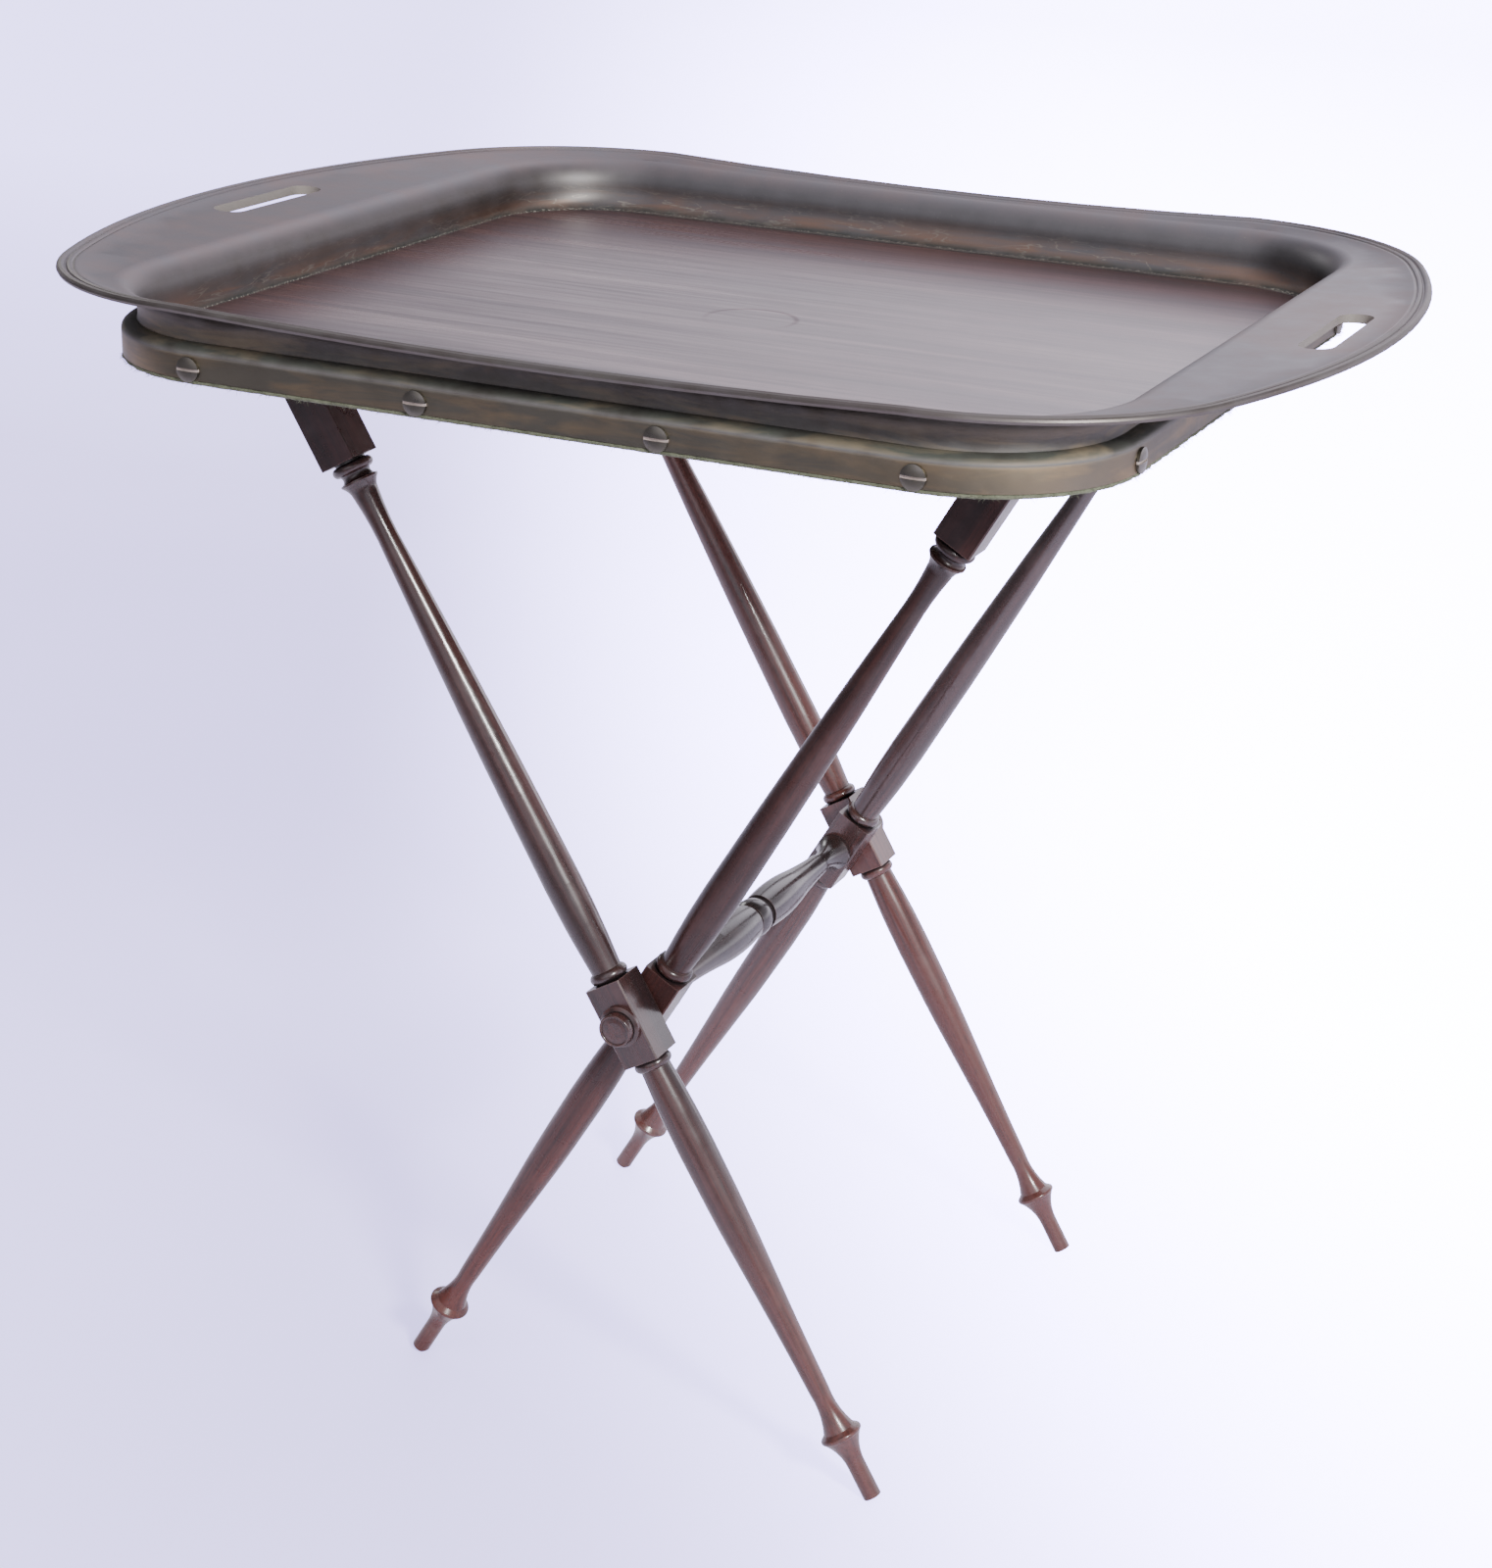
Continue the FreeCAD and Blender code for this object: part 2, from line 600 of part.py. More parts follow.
def make_pivot_pin(label, side):
    """Pin with a collar and a rimmed knob outside the outer leg and a shank into the stretcher."""
    body = new_body(label)
    shank = size.block_width * 2 + size.washer_thickness + size.pin_engagement
    knob_base = size.pin_collar_height
    knob_top = knob_base + size.knob_height
    crown = knob_base + size.knob_height * KNOB_CROWN_SHARE
    turn(body, [
        corner(nothing, -shank), corner(size.pin_radius, -shank), corner(size.pin_radius, nothing),
        corner(size.pin_collar_radius, nothing),
        corner(size.pin_collar_radius, size.pin_collar_height * COLLAR_EDGE_SHARE),
        corner(size.pin_collar_radius * COLLAR_BEVEL_SHARE, knob_base),
        corner(size.knob_radius * KNOB_FOOT_SHARE, knob_base),
        through(size.knob_radius, knob_base + size.knob_height * KNOB_FULL_SHARE),
        corner(size.knob_radius * KNOB_BROW_RADIUS_SHARE, knob_base + size.knob_height * KNOB_BROW_SHARE),
        through(size.knob_radius * KNOB_RIM_RADIUS_SHARE, knob_top),
        corner(size.knob_radius * KNOB_FACE_RADIUS_SHARE, knob_base + size.knob_height * KNOB_FACE_SHARE),
        corner(size.knob_radius * KNOB_CROWN_RADIUS_SHARE, crown),
        corner(nothing, crown),
    ])
    face = (outer_leg_offset + half_block) * side
    place(body, nothing, face, pivot_height, FreeCAD.Rotation(Vector(1, 0, 0), -90 * side))


def make_washer(label, side):
    """Flat ring between the crossing blocks."""
    body = new_body(label)
    inner = size.pin_radius + size.fit_clearance
    turn(body, [
        corner(inner, nothing), corner(size.washer_radius, nothing),
        corner(size.washer_radius, size.washer_thickness), corner(inner, size.washer_thickness),
    ])
    face = (inner_leg_offset + half_block) * side
    place(body, nothing, face, pivot_height, FreeCAD.Rotation(Vector(1, 0, 0), -90 * side))


def wrap_point(radius, angle, side):
    """Point on the round of a rail, turned down from its top by an angle."""
    return (rail_side + radius * sine(angle)) * side, radius * cosine(angle)


def make_strap(label, side):
    """Flat strap over both top rails, turned down round each."""
    body = new_body(label)
    wrap = size.strap_wrap_angle
    half_wrap = wrap / 2
    sketch = new_sketch(body, "outline", "XZ_Plane", -(size.strap_width / 2))
    draw(sketch, [
        corner(-rail_side, strap_outer), corner(rail_side, strap_outer),
        through(*wrap_point(strap_outer, half_wrap, 1)), corner(*wrap_point(strap_outer, wrap, 1)),
        corner(*wrap_point(strap_inner, wrap, 1)), through(*wrap_point(strap_inner, half_wrap, 1)),
        corner(rail_side, strap_inner), corner(-rail_side, strap_inner),
        through(*wrap_point(strap_inner, half_wrap, -1)), corner(*wrap_point(strap_inner, wrap, -1)),
        corner(*wrap_point(strap_outer, wrap, -1)), through(*wrap_point(strap_outer, half_wrap, -1)),
    ])
    pad(body, sketch, "band", size.strap_width)
    place(body, nothing, size.strap_half_spacing * side, rail_height, FreeCAD.Rotation())


def screw_places():
    """Every screw: label, position along and across, turn about Z."""
    places = []
    for number, x in enumerate([-screw_outer, -screw_inner, screw_inner, screw_outer], start=1):
        places.append((f"screw_front_{number}", x, -size.band_half_depth, 0))
        places.append((f"screw_back_{number}", x, size.band_half_depth, 180))
    for number, y in enumerate([-screw_end_offset, screw_end_offset], start=1):
        places.append((f"screw_right_{number}", size.band_half_length, y, 90))
        places.append((f"screw_left_{number}", -size.band_half_length, y, 270))
    return places


def make_screw(label, x, y, heading):
    """Slotted screw with a domed head on the band's face."""
    body = new_body(label)
    dome_rise = size.screw_head_height - size.screw_head_edge
    turn(body, [
        corner(nothing, -size.screw_depth), corner(size.screw_radius, -size.screw_depth),
        corner(size.screw_radius, nothing), corner(size.screw_head_radius, nothing),
        corner(size.screw_head_radius, size.screw_head_edge),
        through(
            size.screw_head_radius * DOME_RADIUS_SHARE,
            size.screw_head_edge + dome_rise * DOME_RISE_SHARE,
        ),
        corner(size.screw_head_radius * DOME_FLAT_SHARE, size.screw_head_height),
        corner(nothing, size.screw_head_height),
    ])
    slot = new_sketch(body, "slot_outline", "XY_Plane", size.screw_head_height)
    draw(slot, rectangle(size.screw_head_radius + size.cut_overrun, size.screw_slot_width / 2))
    cut(body, slot, "slot", size.screw_slot_depth)
    rotation = FreeCAD.Rotation(Vector(0, 0, 1), heading) * FreeCAD.Rotation(Vector(1, 0, 0), 90)
    place(body, x, y, band_base + size.screw_height, rotation)


def inset_outline(end_inset, side_inset):
    """Rounded outline inside the band's face by one distance at the ends and another at the sides."""
    radius = size.band_corner - (end_inset + side_inset) / 2
    return rounded_rectangle(size.band_half_length - end_inset, size.band_half_depth - side_inset, radius)


def make_board():
    """Wooden floor of the tray: raised edge, rebate for the cove's foot, holes for the screws."""
    body = new_body("tray_board")
    outline = new_sketch(body, "outline", "XY_Plane")
    draw(outline, inset_outline(board_inset, board_inset))
    pad(body, outline, "slab", batten_level)
    recess = new_sketch(body, "recess_outline", "XY_Plane", batten_level)
    draw(recess, inset_outline(board_inset + size.batten_end_width, board_inset + size.batten_side_width))
    cut(body, recess, "recess", size.batten_height + size.rebate_depth)
    field = new_sketch(body, "field_outline", "XY_Plane", rebate_level)
    draw(field, inset_outline(cove_end_inset + size.fit_clearance, cove_side_inset + size.fit_clearance))
    pad(body, field, "field", size.rebate_depth)
    radius = size.screw_radius + size.fit_clearance
    depth = size.screw_depth + size.fit_clearance
    for side in (FRONT, BACK):
        name = {FRONT: "front", BACK: "back"}[side]
        drill = new_sketch(body, f"{name}_drill_outline", "XZ_Plane", -(size.band_half_depth * side))
        centres = [(x * way, size.screw_height) for x in (screw_inner, screw_outer) for way in (-1, 1)]
        draw_circles(drill, centres, radius)
        cut(body, drill, f"{name}_drilling", depth, side == BACK)
    for side in (-1, 1):
        name = {-1: "left", 1: "right"}[side]
        drill = new_sketch(body, f"{name}_drill_outline", "YZ_Plane", size.band_half_length * side)
        draw_circles(drill, [(screw_end_offset * way, size.screw_height) for way in (-1, 1)], radius)
        cut(body, drill, f"{name}_drilling", depth, side == -1)
    place(body, nothing, nothing, band_base, FreeCAD.Rotation())


def make_baize():
    """Baize under the board and the band's lower edge."""
    body = new_body("tray_baize")
    outline = new_sketch(body, "outline", "XY_Plane")
    draw(outline, inset_outline(nothing, nothing))
    pad(body, outline, "sheet", size.baize_thickness)
    place(body, nothing, nothing, tray_base, FreeCAD.Rotation())


def ring_edges(half_length, half_depth, radius, level, dip, rise=0, bow=None):
    """Eight edges of a rounded outline: ends straight or bowed and raised, long sides dipped."""
    centre_y = half_depth - radius
    if bow is None:
        centre_x = half_length - radius
        meet_x = half_length
        meet_y = centre_y
    else:
        reach = math.sqrt((bow - radius) ** 2 - centre_y ** 2)
        centre_x = half_length - bow + reach
        meet_x = half_length - bow + reach * bow / (bow - radius)
        meet_y = centre_y * bow / (bow - radius)
    turn_angle = (math.atan2(meet_y - centre_y, meet_x - centre_x) + math.pi / 2) / 2
    round_x = centre_x + radius * math.cos(turn_angle)
    round_y = centre_y + radius * math.sin(turn_angle)

    def point(x, y, drop=0):
        return Vector(x, y, level - drop)

    def curve(start, middle, end, straight):
        if straight:
            return Part.LineSegment(start, end).toShape()
        return Part.Arc(start, middle, end).toShape()

    edges = []
    for side in (1, -1):
        end_low = point(meet_x * side, -meet_y * side)
        end_high = point(meet_x * side, meet_y * side)
        long_start = point(centre_x * side, half_depth * side)
        long_end = point(-centre_x * side, half_depth * side)
        edges.append(curve(end_low, point(half_length * side, 0, -rise), end_high, bow is None))
        edges.append(curve(end_high, point(round_x * side, round_y * side), long_start, False))
        edges.append(curve(long_start, point(0, half_depth * side, dip), long_end, dip == 0))
        far_end = point(-meet_x * side, meet_y * side)
        edges.append(curve(long_end, point(-round_x * side, round_y * side), far_end, False))
    return edges


def band_ring(end_offset, side_offset, level, dip=0):
    """Outline set out from the band's face."""
    return ring_edges(
        size.band_half_length.number + end_offset,
        size.band_half_depth.number + side_offset,
        size.band_corner.number + (end_offset + side_offset) / 2,
        level,
        dip,
    )


def rim_ring(inset, level):
    """Outline set in from the rim's edge."""
    return ring_edges(
        rim_half_length.number - inset,
        rim_half_depth.number - inset,
        size.rim_corner.number - inset,
        level,
        size.rim_dip.number,
        size.rim_rise.number,
        rim_bow.number - inset,
    )


def quarter(first=0):
    """Cosines and sines over a quarter turn."""
    angles = [math.pi / 2 * step / QUARTER_STEPS for step in range(first, QUARTER_STEPS + 1)]
    return [(math.cos(angle), math.sin(angle)) for angle in angles]


def gallery_rings():
    """Outlines round the gallery's closed section: outside up, over the lip, inside down."""
    metal = size.metal_thickness.number
    neck = -size.neck_inset.number
    inner_neck = neck - size.neck_wall.number
    dip = size.flange_dip.number
    flare_rise = size.flange_rise.number - metal
    cove_drop = (neck_level - size.floor_height).number
    end_cove = cove_end_inset.number
    side_cove = cove_side_inset.number
    end_foot = foot_end_inset.number
    side_foot = foot_side_inset.number
    rings = [band_ring(0, 0, 0)]
    for inward, upward in quarter():
        offset = -size.shoulder_step.number * (1 - inward)
        level = size.band_height.number + size.shoulder_height.number * upward
        rings.append(band_ring(offset, offset, level))
    for inward, upward in quarter():
        offset = neck + size.flare_reach.number * (1 - inward)
        rings.append(band_ring(offset, offset, neck_level.number + flare_rise * upward, dip * upward))
    for width_share, rise_share in LIP_SHARES:
        level = rim_level.number + size.lip_rise.number * rise_share
        rings.append(rim_ring(size.lip_width.number * width_share, level))
    for inward, upward in quarter()[::-1]:
        offset = inner_neck + size.roll_reach.number * (1 - inward)
        level = neck_level.number + size.flange_rise.number * upward
        rings.append(band_ring(offset, offset, level, dip * upward))
    for inward, downward in quarter(1):
        end_offset = inner_neck - (end_cove + inner_neck) * (1 - inward)
        side_offset = inner_neck - (side_cove + inner_neck) * (1 - inward)
        rings.append(band_ring(end_offset, side_offset, neck_level.number - cove_drop * downward))
    rings.append(band_ring(-end_cove, -side_cove, rebate_level.number))
    rings.append(band_ring(-end_foot, -side_foot, rebate_level.number))
    rings.append(band_ring(-end_foot, -side_foot, batten_level.number))
    rings.append(band_ring(-metal, -metal, batten_level.number))
    rings.append(band_ring(-metal, -metal, 0))
    return rings


def skin(rings):
    """Solid between successive outlines, the last joined to the first."""
    faces = []
    for index, ring in enumerate(rings):
        following = rings[(index + 1) % len(rings)]
        faces += [Part.makeRuledSurface(edge, other) for edge, other in zip(ring, following)]
    shell = Part.makeCompound(faces)
    shell.sewShape()
    solid = Part.makeSolid(Part.Shell(shell.Faces))
    if solid.Volume < 0:
        solid.reverse()
    return solid


def slot_prism(x, margin, low, high):
    """Upright prism with round ends over a hand slot, larger by a margin."""
    radius = size.slot_width.number / 2 + margin
    straight = (size.slot_length.number - size.slot_width.number) / 2
    edges = [
        Part.LineSegment(Vector(x + radius, -straight, low), Vector(x + radius, straight, low)).toShape(),
        Part.Arc(
            Vector(x + radius, straight, low),
            Vector(x, straight + radius, low),
            Vector(x - radius, straight, low),
        ).toShape(),
        Part.LineSegment(Vector(x - radius, straight, low), Vector(x - radius, -straight, low)).toShape(),
        Part.Arc(
            Vector(x - radius, -straight, low),
            Vector(x, -straight - radius, low),
            Vector(x + radius, -straight, low),
        ).toShape(),
    ]
    return Part.Face(Part.Wire(edges)).extrude(Vector(0, 0, high - low))


def make_gallery():
    """Metal edge of the tray: band, shoulder, neck, flange with reeded lip and slots, cove inside."""
    shape = skin(gallery_rings())
    slope = (size.rim_lift + size.rim_rise) / size.flange_end_width
    top = (flange_level + size.slot_distance * slope).number
    wall_top = top - size.metal_thickness.number / 2
    overrun = size.cut_overrun.number
    for side in (-1, 1):
        x = slot_offset.number * side
        shape = shape.fuse(slot_prism(x, size.slot_wall.number, top - size.slot_depth.number, wall_top))
        shape = shape.cut(slot_prism(x, 0, top - size.slot_depth.number - overrun, top + overrun))
    radius = size.screw_radius.number + size.fit_clearance.number
    for _, x, y, heading in screw_places():
        outward = FreeCAD.Rotation(Vector(0, 0, 1), heading).multVec(Vector(0, -1, 0))
        start = Vector(x.number, y.number, size.screw_height.number) + outward * overrun
        depth = overrun + size.metal_thickness.number + size.fit_clearance.number
        shape = shape.cut(Part.makeCylinder(radius, depth, start, outward * -1))
    feature = doc.addObject("Part::Feature", "tray_gallery")
    feature.Label = "tray_gallery"
    feature.Shape = shape.Solids[0]
    place(feature, nothing, nothing, band_base, FreeCAD.Rotation())
    pieces.append(feature)


def check_pieces():
    """Every document object is in order and every piece is one valid solid."""
    for item in doc.Objects:
        if "Invalid" in item.State or "Error" in item.State:
            raise ValueError(f"{item.Label}: {item.State}")
    for piece in pieces:
        shape = piece.Shape
        if shape.isNull() or not shape.isValid() or len(shape.Solids) != 1:
            raise ValueError(f"{piece.Label}: not one valid solid")


def write_pieces():
    """One STEP file for each piece, under its label."""
    os.makedirs("parts", exist_ok=True)
    for piece in pieces:
        piece.Shape.exportStep(f"parts/{piece.Label}.step")


for end_name, end_side in (("front", FRONT), ("back", BACK)):
    make_leg(f"inner_leg_{end_name}", inner_leg_offset, end_side, 1)
    make_leg(f"outer_leg_{end_name}", outer_leg_offset, end_side, -1)
    make_pivot_pin(f"pivot_pin_{end_name}", end_side)
    make_washer(f"pivot_washer_{end_name}", end_side)
    make_strap(f"strap_{end_name}", end_side)
make_rail("inner_top_rail", inner_leg_offset - half_block, 1)
make_rail("outer_top_rail", outer_leg_offset - half_block, -1)
make_stretcher()
make_board()
make_baize()
make_gallery()
for screw_label, screw_x, screw_y, screw_heading in screw_places():
    make_screw(screw_label, screw_x, screw_y, screw_heading)
doc.recompute()
check_pieces()
write_pieces()
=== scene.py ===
"""Finishes, cloth pieces and stage for a butler's tray on a folding turned stand."""

import math
import random

import bmesh
import bpy
from mathutils import Matrix, Vector


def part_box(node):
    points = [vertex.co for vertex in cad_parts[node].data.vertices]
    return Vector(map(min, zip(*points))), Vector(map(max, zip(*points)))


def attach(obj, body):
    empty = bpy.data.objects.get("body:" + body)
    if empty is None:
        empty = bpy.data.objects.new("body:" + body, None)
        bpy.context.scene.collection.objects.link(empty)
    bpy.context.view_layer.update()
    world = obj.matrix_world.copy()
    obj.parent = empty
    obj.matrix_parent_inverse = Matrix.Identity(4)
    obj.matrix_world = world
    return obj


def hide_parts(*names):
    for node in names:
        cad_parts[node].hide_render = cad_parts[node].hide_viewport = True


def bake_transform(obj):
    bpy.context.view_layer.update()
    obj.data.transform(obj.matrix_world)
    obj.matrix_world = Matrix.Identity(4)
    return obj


bl_info = {
    "name": "Butler's Tray Table",
    "version": (1, 0, 0),
    "blender": (4, 5, 0),
    "location": "View3D > Sidebar > Tray Table",
    "description": "Finishes, cloth pieces and stage for a butler's tray on a folding turned stand",
    "category": "Object",
}

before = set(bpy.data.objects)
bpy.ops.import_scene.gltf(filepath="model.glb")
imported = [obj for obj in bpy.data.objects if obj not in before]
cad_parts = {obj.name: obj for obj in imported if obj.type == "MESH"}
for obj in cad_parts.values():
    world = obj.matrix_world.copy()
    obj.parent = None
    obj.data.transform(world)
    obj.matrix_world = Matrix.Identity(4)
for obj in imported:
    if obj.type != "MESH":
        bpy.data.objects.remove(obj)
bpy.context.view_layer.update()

CROSS_BARS = ["inner_top_rail", "outer_top_rail", "stretcher"]
PINS = ["pivot_pin_front", "pivot_pin_back"]
WASHERS = ["pivot_washer_front", "pivot_washer_back"]
SCREWS = sorted(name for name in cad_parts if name.startswith("screw_"))
STRAPS = ["strap_front", "strap_back"]

# How red the wood of each piece is, and how much polish it keeps, beside the others
LEG_WARMTH = {"inner_leg_front": 0.15, "inner_leg_back": 0.1, "outer_leg_front": 0.05, "outer_leg_back": 0.95}
LEG_POLISH = {"inner_leg_front": 0.6, "inner_leg_back": 1.4, "outer_leg_front": 1.0, "outer_leg_back": 1.1}
CROSS_BAR_WARMTH = 0.0
CROSS_BAR_POLISH = 1.25
PIN_WARMTH = 0.2
CROSS_GRAIN = (math.pi / 2, 0, 0)

# Heights above the ground between which the stand's wood turns less red and less worn, in metres
SHINS = (0.08, 0.28)
FEET = (0.0, 0.06)

# Heights above the ground between which one finish of the tray's metal passes into the next, in metres
COVE_JOINT = (0.6984, 0.6993)
COVE_FOOT = (0.6992, 0.7030)
COVE_LOW = (0.7030, 0.7170)
BAND_TOP = (0.7040, 0.7048)
SHOULDER_START = (0.7030, 0.7050)
SHOULDER_END = (0.7120, 0.7225)
NECK_START = (0.7050, 0.7060)
NECK_GOLD_AND_LIGHT_END = (0.7150, 0.7240)
LEDGE_END = (0.7160, 0.7220)
FLANGE_START = (0.7215, 0.7315)

# Distances from the tray's middle between which the metal's finish changes, in metres
# Painted shade: between these the cove passes from the darker bronze at its left end to its own colour.
LEFT_COVE_SHADE = (-0.33, -0.20)
CORNERS_ACROSS = (0.15, 0.27)
CORNERS_DEEP = (0.17, 0.26)
HANDLED_CORNERS = (-0.2, 0.2)
HAND_SLOT_INNER = (0.340, 0.342)
HAND_SLOT_OUTER = (0.376, 0.378)
HAND_SLOT_END = (0.057, 0.059)

# The same for the tray's wooden floor and for the slots of the screws
STREAKY_END = (-0.15, 0.12)
DUSTY_SIDE = (0.08, 0.22)
RING_ARC = (-0.012, 0.012)
RING_EDGE = (0.0006, 0.0024)
SCREW_SLOT_EDGE = (0.00072, 0.00082)

# Baize: step along its outline, width of its worn edge, and insets and levels of that edge's section
BAIZE_STEP = 0.003
BAIZE_EDGE = 0.012
BAIZE_SECTION = [
    (BAIZE_EDGE, 0.0), (0.0022, 0.0), (0.0005, 0.22), (0.0, 0.55), (0.0004, 0.85), (0.002, 1.0), (BAIZE_EDGE, 1.0),
]
BAIZE_WAVES = 9
BAIZE_WAVE_COUNTS = (20, 240)
BAIZE_WAVE_GAIN = 2.2
FRAY_STEP = 0.0005
FRAY_ROOT = 0.0004
FIBRE_TAPER = ((0.0, 1.0), (0.5, 0.85), (1.0, 0.35))
FIBRE_SIDES = 3

# Straps: steps round a rail and between the rails, section, stripes, and where tacks lie
STRAP_TURNS = 20
STRAP_STEPS = 60
STRAP_FACE = (-0.96, -0.72, -0.48, -0.24, 0, 0.24, 0.48, 0.72, 0.96)
STRAP_SELVEDGE = 0.5
STRAP_MIDDLE = 0.08
STRIPE_PLACE = 0.0165
STRIPE_EDGE = (0.0022, 0.003)
TACK_TURN = 0.87
TACK_SHARES = (-0.36, -0.12, 0.12, 0.36)
TACK_RINGS = [(1.0, 0.0), (1.0, 0.12), (0.85, 0.3), (0.55, 0.46), (0.2, 0.53)]
TACK_CORNERS = 16

# Stage: where the paper's colour and the painted lamp light on it change, in metres, and that light's two
# directions
FRONT_FLOOR = (-1.5, -0.65)
GLOW_ACROSS = (0.90, 0.43)
GLOW_ACROSS_EDGE = (-0.38, 0.45)
GLOW_WIDENS = (0.0, 8.0, 1.0, 3.0)
GLOW_BACKWARD = (0.555, 0.83)
GLOW_BACKWARD_EDGE = (-0.4, 0.75)
GLOW_FADES = (1.0, 7.0)
GLOW_LEFT_OVER = 0.45
GLOW_RISES = (1.6, 3.5)
SOILED = 0.97
LAMP_TARGET = Vector((0, 0, 0.45))

# Shares of a direction's length between which the room's light changes
ROOM_RISE = (0.12, 0.6)
ROOM_DEPTH = (-0.2, 0.6)
ROOM_LEFT_SIDE = (-0.62, -0.15)
ROOM_RIGHT_SIDE = (0.04, 0.5)
ROOM_RIGHT_RISE = (0.18, 0.36)


def colour_setting(label, meaning, value):
    """Colour that a user may change."""
    return bpy.props.FloatVectorProperty(
        name=label, description=meaning, subtype="COLOR", size=3, min=0, max=1, default=value
    )


def length_setting(label, meaning, value):
    """Length in metres that a user may change."""
    return bpy.props.FloatProperty(
        name=label, description=meaning, unit="LENGTH", subtype="DISTANCE", min=0, default=value, precision=5
    )


def place_setting(label, meaning, value):
    """Place in metres that a user may change."""
    return bpy.props.FloatVectorProperty(
        name=label, description=meaning, subtype="XYZ", unit="LENGTH", size=len(value), default=value
    )


def angle_setting(label, meaning, degrees):
    """Angle that a user may change."""
    return bpy.props.FloatProperty(
        name=label, description=meaning, subtype="ANGLE", unit="ROTATION", default=math.radians(degrees)
    )


def share_setting(label, meaning, value):
    """Share between nothing and all that a user may change."""
    return bpy.props.FloatProperty(
        name=label, description=meaning, subtype="FACTOR", min=0, max=1, default=value
    )


def number_setting(label, meaning, value):
    """Plain number that a user may change."""
    return bpy.props.FloatProperty(name=label, description=meaning, default=value)


def count_setting(label, meaning, value):
    """Count or seed that a user may change."""
    return bpy.props.IntProperty(name=label, description=meaning, min=0, default=value)


class StandFinish(bpy.types.PropertyGroup):
    """Finish of the turned stand."""

    dark: colour_setting("Dark wood", "Darkest streaks of the turned wood", (0.0085, 0.0056, 0.0060))
    red: colour_setting("Red wood", "Reddish brown of the turned wood", (0.074, 0.0235, 0.0185))
    # The worn colour also paints the highlight on sharp edges.
    worn: colour_setting("Worn wood", "Paler wood where polish has rubbed off", (0.115, 0.066, 0.058))
    lean: angle_setting("Lean", "Lean of the legs from upright, which the grain follows", 30.4)
    polish: share_setting("Polish", "Weight of the polish over the wood", 0.27)
    washer: colour_setting("Washer metal", "Dull brass between the crossing blocks", (0.23, 0.16, 0.075))


class TrayFinish(bpy.types.PropertyGroup):
    """Finish of the tray's metal, wooden floor and screws."""

    # Bronze also paints the shade at the left end of the cove.
    bronze: colour_setting("Bronze", "Dark patina of the neck", (0.070, 0.060, 0.050))
    cove: colour_setting("Cove", "Dark patina of the cove", (0.088, 0.086, 0.086))
    grey: colour_setting("Grey patina", "Paler grey patina of the flange", (0.128, 0.123, 0.129))
    pink: colour_setting("Pink copper", "Copper showing through on the flange", (0.168, 0.132, 0.126))
    brown: colour_setting("Brown copper", "Brown streaks low in the cove", (0.150, 0.098, 0.072))
    olive: colour_setting("Olive patina", "Patina of the band", (0.128, 0.121, 0.098))
    # Gold also paints the light low on the neck.
    gold: colour_setting("Gold", "Rubbed patches of the band and streaks of the neck", (0.27, 0.20, 0.118))
    verdigris: colour_setting("Verdigris", "Dusty grey low on the neck", (0.100, 0.097, 0.090))
    # Darker green-grey that paints shade on the dust where it faces up.
    shaded_top_dust: colour_setting("Green dust", "Dusty green-grey on the flat of the shoulder", (0.052, 0.057, 0.046))
    # Green-black of the darkening in the grooves and along the cove's foot.
    groove_and_foot_dark: colour_setting("Soot", "Green-black dirt in the hollows", (0.013, 0.014, 0.011))
    dust: colour_setting("Dust", "Dust in the joint round the floor", (0.19, 0.175, 0.145))
    floor_dark: colour_setting("Dark floor", "Dark streaks of the floor's wood", (0.020, 0.0115, 0.0115))
    floor_red: colour_setting("Red floor", "Red-brown of the floor's wood", (0.074, 0.036, 0.033))
    ring_place: place_setting("Ring mark", "Middle of the faint ring a glass left on the floor", (-0.0065, -0.008))
    ring_radius: length_setting("Ring radius", "Radius of that ring", 0.0285)
    screw: colour_setting("Screw metal", "Patinated metal of the screws", (0.14, 0.133, 0.118))
    # Pale colour of the painted highlight in the screws' slots.
    slot: colour_setting("Bare slot", "Bare metal that a driver has rubbed in the slots", (0.50, 0.42, 0.38))
    slot_height: length_setting("Slot height", "Height of the screws' slots above the ground", 0.6960)
    soften: angle_setting("Soften", "Edges of the metal that turn less than this are shaded smooth", 26)


class ClothFinish(bpy.types.PropertyGroup):
    """Sizes and colours of the baize and the straps."""

    baize_dark: colour_setting("Dark baize", "Shaded fibres of the baize", (0.052, 0.058, 0.036))
    baize_pale: colour_setting("Pale baize", "Worn fibres of the baize", (0.135, 0.143, 0.096))
    baize_corner: length_setting("Baize corner", "Corner radius of the baize", 0.092)
    baize_wander: length_setting("Baize wander", "How far the cut edge wanders", 0.0005)
    fray_length: length_setting("Fray length", "Longest loose fibre at the baize's edge", 0.0035)
    fray_thickness: length_setting("Fray thickness", "Thickness of a loose fibre", 0.00022)
    fray_count: count_setting("Fray count", "Loose fibres along the baize's edge", 3000)
    fray_seed: count_setting("Fray seed", "Seed of the loose fibres' places", 11)
    strap_ground: colour_setting("Strap ground", "Main colour of the webbing", (0.115, 0.085, 0.05))
    strap_stripe: colour_setting("Strap stripe", "Darker stripes of the webbing", (0.045, 0.03, 0.02))
    strap_wrap: angle_setting("Strap wrap", "Turn of a strap round each rail", 150)
    strap_sag: length_setting("Strap sag", "Sag of a strap between the rails", 0.002)
    tack_radius: length_setting("Tack radius", "Radius of the tacks that hold the straps", 0.0036)


